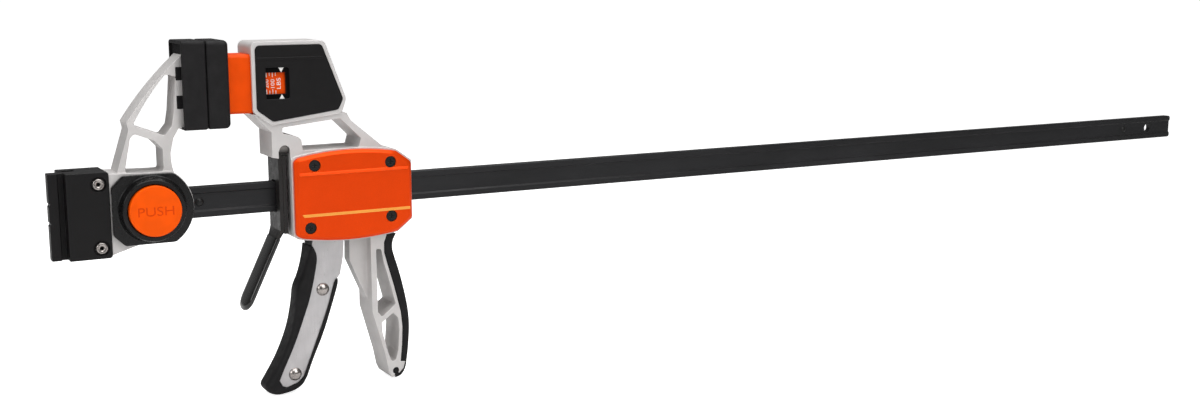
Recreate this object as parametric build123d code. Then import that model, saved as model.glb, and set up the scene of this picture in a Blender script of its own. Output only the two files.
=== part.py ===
from build123d import *
import os
from math import hypot, radians, sin

# Quick release bar clamp with a one-hand trigger, a load gauge behind the moving jaw and a coupler.
# Millimetres. X runs along the bar towards its far end, Y away from the side with the button, Z up.
# The origin is on the bar's axis, in the plane where the two pads meet.
# Front means the button's side (-Y) and rear the other side (+Y).

# Fits and gaps
slide_fit = 0.25  # bar in a casting, each side
run_fit = 0.05  # shaft in a bore, on the radius
body_gap = 0.3  # between neighbours that move apart
plate_play = 0.1  # between a pusher and what it pushes

# Bar
bar_length = 1244.0
bar_height = 25.4
bar_thick = 8.0
bar_edge_r = 1.0
bar_end_r = 3.0
groove_height = 13.0
groove_depth = 1.2
end_hole_r = 5.0
end_hole_setback = 38.0
stop_pin_inset = 41.0
stop_pin_r = 2.5
stop_head_r = 3.6
stop_head_height = 1.7

# Pads
pad_half_width = 21.0
pad_low_z = 60.0
pad_high_z = 130.5
pad_edge_r = 3.6
pad_rim = 2.6
pad_recess = 3.0
fixed_pad_thick = 19.0
moving_pad_thick = 18.0
pad_lug_width = 5.6
pad_lug_height = 10.5
pad_lug_depth = 2.6
pad_lug_low_z = 77.0
pad_lug_pitch = 22.5

# Fixed jaw
lock_setback = 27.85  # from the back of the fixed pad to the lock pin's axis
arm_half_width = 12.5
base_half_width = 16.0
base_low_z = -28.0
base_high_z = 28.5
base_nose_r = 33.4
jaw_rear_setback = 31.0  # from the lock pin's axis to the coupler block
arm_foot_inset = 6.5
arm_high_z = 120.5
arm_low_z = 61.5
strut_thick = 5.8
window_corner_r = 2.6
drain_hole_r = 1.5
drain_hole_z = 93.0

# Coupler block behind the fixed jaw
block_length = 32.0
block_half_width = 17.0
block_low_z = -36.5
block_high_z = 31.5
block_edge_r = 2.5
coupler_step = 1.2
coupler_fit = 0.3
tongue_reach = 12.0
tongue_neck = 4.5
tongue_width = 10.0
tongue_hook = 3.0
tongue_root = 1.0
notch_z = 7.5
notch_depth = 0.8
notch_height = 2.4
lug_length = 14.0
lug_half_width = 8.0
lug_height = 13.0
rivet_setback = 8.0
rivet_high_z = 22.0
rivet_low_z = -28.0
rivet_shank_r = 3.0
rivet_head_r = 4.5
rivet_head_height = 2.6
rivet_recess_r = 5.8
rivet_recess_depth = 1.6

# Lock button of the fixed jaw
button_r = 20.0
button_face_y = -33.0
button_face_thick = 2.6
button_wall = 2.0
button_skirt = 8.4
button_edge_r = 0.8
button_travel = 8.0
collar_gap = 0.5
collar_plate = 4.5
collar_ring_r = 26.4
collar_ring_taper = 2.2
collar_ring_height = 8.2
collar_half_height = 27.6
collar_nose_r = 32.4
collar_corner = 8.5
collar_side_gap = 0.8
cover_peg_setback = 7.0
cover_peg_r = 2.0
cover_peg_length = 5.0
cover_peg_z = 21.0
back_cover_wall = 2.0
back_cover_bore_r = 22.5
stem_r = 2.2
stem_z = 15.6
stem_boss_r = 4.2
lock_pin_r = 4.9
lock_pin_reach = 3.5
lock_pin_bevel = 0.6
yoke_thick = 4.0
yoke_half_width = 7.0
yoke_half_height = 20.0
yoke_corner_r = 3.0
yoke_seat = 2.0
yoke_screw_r = 1.2
yoke_screw_depth = 3.0
yoke_screw_head_r = 2.4
yoke_screw_head = 1.4
button_spring_r = 9.0
button_spring_wire = 0.7
button_spring_turns = 5

# Load gauge: plunger, housing and its covers
gauge_axis_z = 94.6
gauge_travel = 16.5
travel_spare = 1.75  # left over at both ends of the plunger when it is pressed home
plunger_half_width = 16.0
plunger_height = 47.6
plunger_length = 57.85
plunger_edge_r = 3.0
plunger_wall = 3.0
plunger_front_plate = 4.0
bulkhead_setback = 27.85
bulkhead_thick = 5.0
housing_half_width = 19.0
housing_over = 10.1
housing_under = 6.8
housing_corner_r = 5.0
gauge_cover_rim = 3.0
gauge_cover_corner_r = 4.0
gauge_cover_proud = 0.6
gauge_window_setback = 11.2
gauge_window_width = 16.6
gauge_window_drop = 8.6
gauge_window_height = 17.4
gauge_recess_margin = 3.0
gauge_recess_depth = 1.0
gauge_peg_r = 1.6
gauge_peg_length = 4.0
guide_bolt_r = 4.0
guide_bolt_head_r = 7.0
guide_bolt_head = 4.0
guide_bolt_seat = 6.0
gauge_spring_r = 9.5
gauge_spring_wire = 1.9
gauge_spring_turns = 6

# Moving jaw casting
frame_half_width = 17.5
neck_setback = 14.8
neck_width = 5.2
neck_low_z = 34.0
hook_z = 39.0
hook_r = 4.6
release_room = 2.95  # between the brake plates and the body
body_length = 105.25
body_half_width = 19.0
body_high_z = 38.6
body_low_z = -39.8
handle_setback = 30.3
handle_half_width = 16.0
web_half_width = 6.5
frame_window_r = 1.6
handle_window_r = 2.0
cavity_half_width = 12.0
spring_bay_half_width = 8.0
drive_bay_length = 44.0
drive_bay_margin = 1.5

# Cover plates on the body
cover_thick = 5.0
cover_margin = 1.2
cover_bevel = 2.0
cover_bevel_width = 2.6
cover_ridge_height = 0.8
cover_ridge_width = 2.2
cover_ridge_z = 18.0
cover_ridge_inset = 5.0
screw_head_r = 4.5
screw_head = 2.6
screw_well_r = 5.0
screw_well_depth = 3.4
screw_shank_r = 1.9
screw_length = 9.5
screw_cross = 4.6
screw_cross_width = 1.1
screw_cross_depth = 1.2

# Brake lever
brake_plate_thick = 3.3
brake_half_width = 14.5
brake_slot_gap = 0.6
brake_plate_low_z = -30.5
lever_half_width = 11.5
lever_bend_z = -28.2
lever_lean = 31.0
lever_tip_z = -92.4
lever_tip_r = 10.5
lever_overlap = 1.5
sleeve_wall = 1.6
sleeve_start = 7.2
sleeve_edge_r = 0.9
brake_spring_r = 3.4
brake_spring_wire = 0.7
brake_spring_turns = 5
brake_spring_z = -20.5
brake_spring_pocket = 8.0

# Trigger
pivot_setback = 37.75
pivot_z = 21.0
pivot_r = 4.0
trigger_angle = 15.0
plate_inner_y = 8.5
plate_thick = 2.5
plate_eye_r = 9.5
grip_half_width = 13.0
grip_wrap = 1.6
roller_arm = 38.0
roller_r = 3.0
roller_pin_r = 1.5
trigger_rivet_shank_r = 3.0
trigger_rivet_head_r = 5.6
trigger_rivet_head_height = 3.2
trigger_bush_r = 5.0
upper_rivet_offset = -11.7
upper_rivet_z = -81.5
lower_rivet_offset = -38.1
lower_rivet_z = -152.0

# Drive plates
drive_plate_thick = 3.0
drive_plate_count = 2
drive_half_width = 7.6
drive_low_z = -25.0
drive_high_z = 16.2
drive_spring_r = 3.6
drive_spring_wire = 0.8
drive_spring_turns = 10
drive_spring_z = -19.5

# Rubber backstrap on the handle
strap_half_width = 15.0
strap_bulb_r = 3.0
strap_bulb_offset = 50.6
strap_bulb_z = -160.0

# Worked-out places of the fixed jaw
pad_face_x = body_gap / 2
fixed_pad_back_x = -pad_face_x - fixed_pad_thick
strut_x = fixed_pad_back_x - strut_thick
lock_x = fixed_pad_back_x - lock_setback
bar_near_x = lock_x - end_hole_setback
bar_far_x = bar_near_x + bar_length
near_pin_x = lock_x + stop_pin_inset
far_hole_x = bar_far_x - end_hole_setback
far_pin_x = far_hole_x - stop_pin_inset
web_half_thick = bar_thick / 2 - groove_depth
jaw_rear_x = lock_x - jaw_rear_setback
block_left_x = jaw_rear_x - block_length
mating_x = block_left_x - coupler_step
rivet_x = jaw_rear_x - rivet_setback
peg_x = jaw_rear_x + cover_peg_setback

# Worked-out places of the moving jaw
moving_pad_back_x = pad_face_x + moving_pad_thick
bulkhead_x = moving_pad_back_x + bulkhead_setback
plunger_rear_x = moving_pad_back_x + plunger_length
plunger_low_z = gauge_axis_z - plunger_height / 2
plunger_high_z = gauge_axis_z + plunger_height / 2
plunger_outside = plunger_half_width + run_fit
pocket_rear_x = plunger_rear_x + gauge_travel + travel_spare
housing_front_x = moving_pad_back_x + gauge_travel + travel_spare
housing_low_z = plunger_low_z - housing_under
housing_high_z = plunger_high_z + housing_over
gauge_window_x = housing_front_x + gauge_window_setback
gauge_window_z = gauge_axis_z - gauge_window_drop
neck_x = housing_front_x + neck_setback
brake_plate_x = neck_x + neck_width + body_gap
brake_right_x = brake_plate_x + 2 * brake_plate_thick
hook_x = brake_plate_x + hook_r + body_gap
body_left_x = brake_right_x + release_room
body_right_x = body_left_x + body_length
cover_face_y = body_half_width + cover_thick
pivot_x = body_left_x + pivot_setback
handle_x = pivot_x + handle_setback
drive_bay_right_x = pivot_x + drive_bay_length
plate_outer_y = plate_inner_y + plate_thick
roller_x = pivot_x - roller_arm * sin(radians(trigger_angle / 2))
roller_z = pivot_z - (roller_arm**2 - (pivot_x - roller_x) ** 2) ** 0.5
stack_left_x = roller_x + roller_r + plate_play
stack_right_x = stack_left_x + drive_plate_count * drive_plate_thick
strap_bulb_x = pivot_x + strap_bulb_offset

os.makedirs("parts", exist_ok=True)


def save(name, solids):
    """Write one named piece, made of one or more separate solids."""
    shape = Compound(children=solids) if isinstance(solids, list) else solids
    export_step(shape, f"parts/{name}.step")


def outline(points, radius):
    """A closed wire in the sketch plane, with one radius at every corner or one for each."""
    if radius == 0:
        return Polyline(*points, close=True)
    return FilletPolyline(*points, radius=radius, close=True)


def across(points, low_y, high_y, radius=0.0):
    """A side outline of (x, z) points, extruded across the clamp."""
    face = make_face(Plane.XZ.offset(-high_y) * outline(points, radius))
    return extrude(face, high_y - low_y, dir=(0, -1, 0))


def upward(points, low_z, high_z, radius=0.0):
    """A plan outline of (x, y) points, extruded upwards."""
    face = make_face(Plane.XY.offset(low_z) * outline(points, radius))
    return extrude(face, high_z - low_z, dir=(0, 0, 1))


def along(points, low_x, high_x, radius=0.0):
    """An end outline of (y, z) points, extruded along the bar."""
    face = make_face(Plane.YZ.offset(low_x) * outline(points, radius))
    return extrude(face, high_x - low_x, dir=(1, 0, 0))


def box(low_x, high_x, low_y, high_y, low_z, high_z):
    """A box between two corners."""
    middle = ((low_x + high_x) / 2, (low_y + high_y) / 2, (low_z + high_z) / 2)
    return Pos(*middle) * Box(high_x - low_x, high_y - low_y, high_z - low_z)


def rod_across(x, z, radius, low_y, high_y):
    """A round rod or hole across the clamp."""
    return Pos(x, (low_y + high_y) / 2, z) * Rot(90, 0, 0) * Cylinder(radius, high_y - low_y)


def rod_along(y, z, radius, low_x, high_x):
    """A round rod or hole along the bar."""
    return Pos((low_x + high_x) / 2, y, z) * Rot(0, 90, 0) * Cylinder(radius, high_x - low_x)


def dome(x, z, radius, height, base_y, side):
    """A low domed head on a face across the clamp; side is -1 at the front and 1 at the rear."""
    ball_r = (radius**2 + height**2) / (2 * height)
    ball = Pos(x, base_y + side * (height - ball_r), z) * Sphere(ball_r)
    low_y, high_y = sorted((base_y, base_y + side * height))
    return ball & rod_across(x, z, radius, low_y, high_y)


def coil(radius, wire_r, turns, start, length, direction):
    """A round-wire spring whose wire lies between two planes, length apart, from start on."""
    axis = Vector(*direction)
    height = length - 2 * wire_r
    foot = Vector(*start) + axis * wire_r
    path = Helix(pitch=height / turns, height=height, radius=radius, center=foot, direction=axis)
    return sweep(Plane(origin=path @ 0, z_dir=path % 0) * Circle(wire_r), path=path)


def from_lock(points):
    """Outline points measured along the bar from the lock pin's axis, in the clamp's own frame."""
    return [(lock_x + x, z) for x, z in points]


def from_pivot(points):
    """Outline points measured along the bar from the trigger's pivot, in the clamp's own frame."""
    return [(pivot_x + x, z) for x, z in points]


def rivet(x, z, shank_r, head_r, head_height, half_width):
    """A rivet across the clamp with a domed head on each side."""
    body = rod_across(x, z, shank_r, -half_width, half_width)
    for side in (-1, 1):
        body += dome(x, z, head_r, head_height, side * half_width, side)
    return body


def bar_room(low_x, high_x, fit=slide_fit):
    """The space that the bar takes in a casting, with its fit."""
    half_y = bar_thick / 2 + fit
    half_z = bar_height / 2 + fit
    return box(low_x, high_x, -half_y, half_y, -half_z, half_z)


# Bar and its stops


def bar():
    half_y, half_z = bar_thick / 2, bar_height / 2
    lip = groove_height / 2 + groove_depth
    side = [(half_y, -half_z), (half_y, -lip), (web_half_thick, -groove_height / 2)]
    side += [(y, -z) for y, z in reversed(side)]
    section = side + [(-y, -z) for y, z in side]
    corners = [bar_edge_r, 0, 0, 0, 0, bar_edge_r] * 2
    rail = along(section, bar_near_x, bar_far_x, corners)
    ends = [(bar_near_x, -half_z), (bar_far_x, -half_z), (bar_far_x, half_z), (bar_near_x, half_z)]
    rail &= across(ends, -half_y, half_y, bar_end_r)
    for hole_x in (lock_x, far_hole_x):
        rail -= rod_across(hole_x, 0, end_hole_r, -half_y, half_y)
    for pin_x in (near_pin_x, far_pin_x):
        rail -= rod_across(pin_x, 0, stop_pin_r, -half_y, half_y)
    return rail


def stop_pin(x):
    return rivet(x, 0, stop_pin_r, stop_head_r, stop_head_height, web_half_thick)


# Fixed jaw


def arm_outline():
    """Side face of the fixed jaw's arm: a straight leg, a small knuckle and a long arc to the pad."""
    head_x = fixed_pad_back_x + pad_recess
    sink_z = base_high_z - 8
    knuckle = (lock_x - 14.8, 68)
    toe, heel = (lock_x + 18, 43), (lock_x + 22.5, sink_z)
    leg_foot = (jaw_rear_x + arm_foot_inset, sink_z)
    leg = Polyline(leg_foot, (leg_foot[0] + 1, base_high_z + 2), (lock_x - 13.5, 62), knuckle)
    back = ThreePointArc(knuckle, (lock_x + 4.5, 93.5), (head_x, arm_high_z))
    front = [(head_x, arm_high_z), (head_x, arm_low_z), (lock_x + 25, arm_low_z), (lock_x + 20.5, 54), toe]
    foot = ThreePointArc(toe, (lock_x + 18.5, 33), heel)
    return Curve() + [leg, back, Polyline(*front), foot, Line(heel, leg_foot)]


def arm_windows():
    """The two openings of the arm, with the slanting rib between them."""
    low = [(-18.2, base_high_z), (-12.7, 55.5), (-9.7, 59), (5.5, 53), (12, 46), (12, base_high_z)]
    lower = across(from_lock(low), -arm_half_width, arm_half_width, window_corner_r)
    start, end = (lock_x - 10, 66), (lock_x + 16, 104)
    rib = [(strut_x, 75), (lock_x + 20, 64), (lock_x + 14, 56.5)]
    side = Polyline(end, (strut_x, end[1]), *rib, start)
    arc = ThreePointArc(start, (lock_x + 1.2, 84.6), end)
    face = make_face(Plane.XZ.offset(-arm_half_width) * (Curve() + [side, arc]))
    upper = extrude(face, 2 * arm_half_width, dir=(0, -1, 0))
    upright = [edge for edge in upper.edges() if abs(edge.tangent_at(0).Y) > 0.99]
    return lower + fillet(upright, 0.8 * window_corner_r)


def jaw_base():
    """Block that holds the bar, with a round nose about the lock pin and two rear lugs."""
    nose = rod_across(lock_x, 0, base_nose_r, -base_half_width, base_half_width)
    nose &= box(lock_x, lock_x + base_nose_r, -base_half_width, base_half_width, base_low_z, base_high_z)
    tail = [(lock_x, base_high_z), (jaw_rear_x, base_high_z + 1), (jaw_rear_x, block_low_z + 2)]
    tail += [(lock_x - 10, base_low_z), (lock_x, base_low_z)]
    base = nose + across(tail, -base_half_width, base_half_width)
    for z in (rivet_high_z, rivet_low_z):
        base += rear_lug(z)
    return base


def rear_lug(z):
    """Tongue of the casting that a coupler rivet passes through."""
    low, high = z - lug_height / 2, z + lug_height / 2
    return box(jaw_rear_x - lug_length, jaw_rear_x, -lug_half_width, lug_half_width, low, high)


def fixed_jaw_frame():
    face = make_face(Plane.XZ.offset(-arm_half_width) * arm_outline())
    arm = extrude(face, 2 * arm_half_width, dir=(0, -1, 0))
    frame = arm - arm_windows() + jaw_base()
    frame -= bar_room(jaw_rear_x - lug_length, lock_x + base_nose_r)
    frame -= rod_across(lock_x, 0, lock_pin_r + run_fit, 0, base_half_width)
    for side in (-1, 1):
        frame -= rod_across(lock_x, side * stem_z, stem_r + run_fit, -base_half_width, base_half_width)
        for face in (-1, 1):
            ends = sorted((face * base_half_width, face * (base_half_width - cover_peg_length)))
            frame -= rod_across(peg_x, side * cover_peg_z, cover_peg_r, *ends)
    for z in (rivet_high_z, rivet_low_z):
        frame -= rod_across(rivet_x, z, rivet_shank_r, -lug_half_width, lug_half_width)
    frame -= rod_along(0, drain_hole_z, drain_hole_r, strut_x - 1, fixed_pad_back_x)
    for lug in pad_lugs():
        frame -= lug
    return frame


def pad_lugs():
    """Clips of the fixed pad, let into both side faces of the arm's head."""
    lugs = []
    for row in range(2):
        low = pad_lug_low_z + row * pad_lug_pitch
        for side in (-1, 1):
            ends = sorted((side * arm_half_width, side * (arm_half_width - pad_lug_depth)))
            left, right = fixed_pad_back_x - pad_lug_width, fixed_pad_back_x + pad_recess
            lugs.append(box(left, right, *ends, low, low + pad_lug_height))
    return lugs


def pad(back_x, face_x):
    """A clamping pad: a rounded block with a rimmed recess in its back."""
    low_x, high_x = sorted((back_x, face_x))
    body = box(low_x, high_x, -pad_half_width, pad_half_width, pad_low_z, pad_high_z)
    corners = body.edges().filter_by(Axis.Z) + body.edges().filter_by(Axis.Y).group_by(Axis.Z)[-1]
    return fillet(corners, pad_edge_r)


def fixed_jaw_pad():
    body = pad(fixed_pad_back_x, -pad_face_x)
    recess_x = fixed_pad_back_x + pad_recess
    half_y = pad_half_width - pad_rim
    body -= box(fixed_pad_back_x, recess_x, -half_y, half_y, arm_low_z, pad_high_z - pad_rim)
    for lug in pad_lugs():
        body += lug
    return body


# Coupler block


def tongue(fit):
    """Plan outline of the coupler's hooked tongue on the front half, grown all round by a fit."""
    tip, neck = block_left_x - tongue_reach - fit, block_left_x - tongue_neck + fit
    root = block_left_x + tongue_root
    inner, outer = coupler_fit - fit, tongue_width + fit
    stem = outer - tongue_hook
    return [(root, -inner), (tip, -inner), (tip, -outer), (neck, -outer), (neck, -stem), (root, -stem)]


def socket():
    """The tongue with its fit, turned half round about the middle of the mating plane."""
    return [(2 * mating_x - x, -y) for x, y in tongue(coupler_fit)]


def connector_block():
    half, rear_x = block_half_width, mating_x - coupler_step
    plan = [(jaw_rear_x, -half), (block_left_x, -half), (block_left_x, 0), (rear_x, 0)]
    plan += [(rear_x, half), (jaw_rear_x, half)]
    block = upward(plan, block_low_z, block_high_z)
    block += upward(tongue(0.0), block_low_z, block_high_z)
    block -= upward(socket(), block_low_z, block_high_z)
    tip = block_left_x - tongue_reach
    for z in (-notch_z, notch_z):
        block -= box(tip, tip + notch_depth, -half, 0, z - notch_height / 2, z + notch_height / 2)
    corners = block.edges().filter_by(Axis.Y).filter_by(lambda edge: abs(edge.center().X - jaw_rear_x) < 0.01)
    block = fillet(corners, block_edge_r)
    block -= bar_room(bar_near_x - slide_fit, jaw_rear_x)
    for z in (rivet_high_z, rivet_low_z):
        block -= rear_lug(z)
        block -= rod_across(rivet_x, z, rivet_shank_r, -half, half)
        for side in (-1, 1):
            ends = sorted((side * half, side * (half - rivet_recess_depth)))
            block -= rod_across(rivet_x, z, rivet_recess_r, *ends)
    return block


def connector_rivets():
    half = block_half_width - rivet_recess_depth
    size = (rivet_shank_r, rivet_head_r, rivet_head_height, half)
    return [rivet(rivet_x, z, *size) for z in (rivet_high_z, rivet_low_z)]


# Lock button


def side_plate(side, thick):
    """Plate on one side of the jaw's base: chamfered at the rear, round at the nose."""
    left = jaw_rear_x + collar_side_gap
    half = collar_half_height
    points = [(lock_x, half), (left + collar_corner, half), (left, half - collar_corner)]
    points += [(x, -z) for x, z in reversed(points)]
    near, far = sorted((side * base_half_width, side * (base_half_width + thick)))
    nose = rod_across(lock_x, 0, collar_nose_r, near, far)
    nose &= box(lock_x, lock_x + collar_nose_r, near, far, -half, half)
    plate = nose + across(points, near, far)
    for z in (-cover_peg_z, cover_peg_z):
        ends = sorted((side * base_half_width, side * (base_half_width - cover_peg_length)))
        plate += rod_across(peg_x, z, cover_peg_r, *ends)
    return plate


def tapered_ring(side, start, height):
    """Raised boss about the lock pin's axis, narrower at its top."""
    cone = Cone(collar_ring_r, collar_ring_r - collar_ring_taper, height)
    return Pos(lock_x, side * (start + height / 2), 0) * Rot(90 if side < 0 else -90, 0, 0) * cone


def button_collar():
    plate = side_plate(-1, collar_plate)
    plate += tapered_ring(-1, base_half_width + collar_plate, collar_ring_height)
    top = base_half_width + collar_plate + collar_ring_height
    return plate - rod_across(lock_x, 0, button_r + collar_gap, -top, -base_half_width)


def back_cover_depth():
    stroke = yoke_thick + yoke_screw_head + button_travel + 2 * body_gap
    return stroke + back_cover_wall


def button_back_cover():
    plate = side_plate(1, collar_plate)
    height = back_cover_depth() - collar_plate
    plate += tapered_ring(1, base_half_width + collar_plate, height)
    inside = base_half_width + back_cover_depth() - back_cover_wall
    return plate - rod_across(lock_x, 0, back_cover_bore_r, base_half_width, inside)


def push_button():
    back_y = button_face_y + button_face_thick
    skirt_y = button_face_y + button_skirt
    button = rod_across(lock_x, 0, button_r, button_face_y, skirt_y)
    button -= rod_across(lock_x, 0, button_r - button_wall, back_y, skirt_y)
    for side in (-1, 1):
        boss = rod_across(lock_x, side * stem_z, stem_boss_r, back_y, skirt_y)
        button += boss & rod_across(lock_x, 0, button_r - button_wall / 2, back_y, skirt_y)
        button -= rod_across(lock_x, side * stem_z, stem_r, back_y, skirt_y)
    face_edge = button.edges().filter_by(GeomType.CIRCLE).group_by(Axis.Y)[0]
    return fillet(face_edge, button_edge_r)


def yoke_front_y():
    return base_half_width + body_gap / 3


def lock_stems():
    """Two rods that carry the press past the bar, above and below it."""
    start = button_face_y + button_face_thick
    end = yoke_front_y() + yoke_seat
    stems = []
    for side in (-1, 1):
        stem = rod_across(lock_x, side * stem_z, stem_r, start, end)
        stems.append(stem - rod_across(lock_x, side * stem_z, yoke_screw_r, end - yoke_screw_depth, end))
    return stems


def lock_yoke():
    front = yoke_front_y()
    back = front + yoke_thick
    half_x, half_z = yoke_half_width, yoke_half_height
    corners = [(-half_x, -half_z), (half_x, -half_z), (half_x, half_z), (-half_x, half_z)]
    yoke = across(from_lock(corners), front, back, yoke_corner_r)
    yoke -= rod_across(lock_x, 0, lock_pin_r, front, front + yoke_seat)
    for side in (-1, 1):
        yoke -= rod_across(lock_x, side * stem_z, stem_r, front, front + yoke_seat)
        yoke -= rod_across(lock_x, side * stem_z, yoke_screw_r, front, back)
    return yoke


def lock_pin():
    end = yoke_front_y() + yoke_seat
    pin = rod_across(lock_x, 0, lock_pin_r, -lock_pin_reach, end)
    tip = pin.edges().filter_by(GeomType.CIRCLE).group_by(Axis.Y)[0]
    return chamfer(tip, lock_pin_bevel)


def yoke_screws():
    back = yoke_front_y() + yoke_thick
    tip = yoke_front_y() + yoke_seat - yoke_screw_depth
    screws = []
    for side in (-1, 1):
        shank = rod_across(lock_x, side * stem_z, yoke_screw_r, tip, back)
        head = rod_across(lock_x, side * stem_z, yoke_screw_head_r, back, back + yoke_screw_head)
        screws.append(shank + head)
    return screws


def button_spring():
    start = (lock_x, -base_half_width, 0)
    length = -base_half_width - (button_face_y + button_face_thick)
    return coil(button_spring_r, button_spring_wire, button_spring_turns, start, length, (0, -1, 0))


# Load gauge


def gauge_plunger():
    """Sliding box that carries the pad: front plate, bulkhead and a skirt that the scale is printed on."""
    front_x = moving_pad_back_x - pad_recess
    half_y, low, high = plunger_half_width, plunger_low_z, plunger_high_z
    body = box(front_x, plunger_rear_x, -half_y, half_y, low, high)
    body = fillet(body.edges().filter_by(Axis.X), plunger_edge_r)
    inner_y, inner_low, inner_high = half_y - plunger_wall, low + plunger_wall, high - plunger_wall
    hollow_x = front_x + plunger_front_plate
    body -= box(hollow_x, bulkhead_x, -inner_y, inner_y, inner_low, inner_high)
    body -= box(bulkhead_x + bulkhead_thick, plunger_rear_x, -inner_y, inner_y, inner_low, inner_high)
    bore_end = bulkhead_x + bulkhead_thick
    return body - rod_along(0, gauge_axis_z, guide_bolt_r + run_fit, bulkhead_x, bore_end)


def guide_bolt():
    """Shoulder bolt from the housing's rear wall, whose head keeps the plunger in."""
    head_x = bulkhead_x - plate_play
    bolt = rod_along(0, gauge_axis_z, guide_bolt_r, head_x, pocket_rear_x + guide_bolt_seat)
    return bolt + rod_along(0, gauge_axis_z, guide_bolt_head_r, head_x - guide_bolt_head, head_x)


def gauge_spring():
    start_x = bulkhead_x + bulkhead_thick
    start, length = (start_x, 0, gauge_axis_z), pocket_rear_x - start_x
    return coil(gauge_spring_r, gauge_spring_wire, gauge_spring_turns, start, length, (1, 0, 0))


def moving_jaw_pad():
    body = pad(moving_pad_back_x, pad_face_x)
    half_y, low, high = plunger_half_width, plunger_low_z, plunger_high_z
    seat = box(moving_pad_back_x - pad_recess, moving_pad_back_x, -half_y, half_y, low, high)
    return body - fillet(seat.edges().filter_by(Axis.X), plunger_edge_r)


def housing_points(inset):
    """Side outline of the gauge housing: upright at the plunger, sloping at the rear."""
    left, top, low = housing_front_x + inset, housing_high_z - inset, housing_low_z + inset
    slope = [(-6.5 - 0.8 * inset, top), (11 - 0.9 * inset, gauge_axis_z - 14.6), (7 - inset, low + 4)]
    chin = [(neck_x - 0.2 + inset / 2, low - 3.4), (left, low + 8 - inset / 2)]
    return [(left, top)] + from_pivot(slope) + chin


def gauge_cover(side):
    """Black cover of the housing with a reading window in a shallow recess."""
    ends = sorted((side * plunger_outside, side * (housing_half_width + gauge_cover_proud)))
    cover = across(housing_points(gauge_cover_rim), *ends, gauge_cover_corner_r)
    low_x, high_x = gauge_window_x, gauge_window_x + gauge_window_width
    low_z, high_z = gauge_window_z, gauge_window_z + gauge_window_height
    cover -= box(low_x, high_x, *ends, low_z, high_z)
    outer = side * (housing_half_width + gauge_cover_proud)
    floor = sorted((outer, outer - side * gauge_recess_depth))
    margin = gauge_recess_margin
    cover -= box(low_x, high_x + margin, *floor, low_z - 2 * margin, high_z + 2 * margin)
    for x, z in gauge_peg_places():
        peg = sorted((side * plunger_outside, side * (plunger_outside - gauge_peg_length)))
        cover += rod_across(x, z, gauge_peg_r, *peg)
    return cover


def gauge_peg_places():
    high = (plunger_high_z + housing_high_z - gauge_cover_rim) / 2
    return from_pivot([(-56, high), (-14, high), (-48, plunger_low_z - 4.2), (-1, gauge_axis_z - 4.6)])


# Moving jaw casting


def body_points(inset):
    """Side outline of the moving jaw's body, with long flat arcs above and below."""
    left, right = body_left_x + inset, body_right_x - inset
    top, low = body_high_z - inset, body_low_z + inset
    crown, shoulder = pivot_x + 12, right - 13.5
    upper = [(left, top - 7), (left + 4, top - 4.6), (crown, top), (shoulder, top - 3.6), (right, top - 13.5)]
    lower = [(right, low + 14), (shoulder, low + 3.6), (crown, low), (left + 4, low + 4.4), (left, low + 7.4)]
    return upper + lower


def body_wire(inset):
    upper, lower = body_points(inset)[:5], body_points(inset)[5:]
    top = ThreePointArc(upper[1], upper[2], upper[3])
    bottom = ThreePointArc(lower[1], lower[2], lower[3])
    joins = [Line(upper[0], upper[1]), Line(upper[3], upper[4]), Line(upper[4], lower[0])]
    joins += [Line(lower[0], lower[1]), Line(lower[3], lower[4]), Line(lower[4], upper[0])]
    return Curve() + [top, bottom] + joins


def body_slab(inset, low_y, high_y):
    face = make_face(Plane.XZ.offset(-high_y) * body_wire(inset))
    return extrude(face, high_y - low_y, dir=(0, -1, 0))


def upper_frame():
    """Open frame between the body and the gauge housing, with the hook for the brake lever."""
    half, sink_z = frame_half_width, body_high_z - 8.6
    left, right = neck_x, neck_x + neck_width
    points = [(left, neck_low_z), (right, neck_low_z - 1), (right, hook_z)]
    points += [(body_left_x, hook_z), (body_left_x, sink_z)]
    points += from_pivot([(48, sink_z), (48, 36), (41, 39.5), (15, 61.5), (11.5, 68)])
    points += [(housing_front_x + 3.6, 70), (housing_front_x + 0.2, 70), (left, 55)]
    frame = across(points, -half, half)
    window = [(-43.7, 53.4), (-43.7, 58.2), (5.9, 63.6), (23.6, 46), (21.5, body_high_z), (-27, body_high_z)]
    window += [(-28, 47.5), (-30.5, 50)]
    frame -= across(from_pivot(window), -half, half, frame_window_r)
    return frame - rod_across(hook_x, hook_z, hook_r + run_fit, -half, half)


def strap_inner():
    """Line where the rubber backstrap lies on the handle, from the top down."""
    upper = [(44.6, -39), (42.2, -45.5), (42.2, -54), (44.7, -64), (50.3, -84)]
    return from_pivot(upper + [(56, -107.7), (57.3, -121), (56.6, -137), (54.9, -152.4)])


def strap_hook():
    """Lower end of the backstrap, which turns round the foot to its bulb."""
    inside = from_pivot([(59.2, -153), (57.5, -158.5), (53.5, -162.5)])
    return inside + [(strap_bulb_x, strap_bulb_z)] + from_pivot([(49, -164), (51.6, -166.6)])


def strap_outer():
    """Palm side of the backstrap, from its foot up to the body."""
    lower = [(57.8, -163.6), (61.6, -153), (63.3, -142.7), (65, -122.7), (64.3, -108), (61, -90)]
    return from_pivot(lower + [(56.4, -71.2), (51.3, -55.2), (50.5, -50), (51.5, -43.8), (54.5, -39)])


def handle_outline():
    """Side face of the fixed handle from the body down to its foot."""
    top_z = body_low_z + 9.8
    finger = [(41.5, -146), (44.3, -160.5), (46.8, -165.6)]
    foot = [(48.8, -165.4), (53.5, -162.5), (57.5, -158.5), (59.2, -153)]
    front = [(handle_x, top_z), (handle_x, -105)] + from_pivot(finger + foot)
    return front + strap_inner()[::-1] + [(pivot_x + 46, top_z)]


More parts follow.
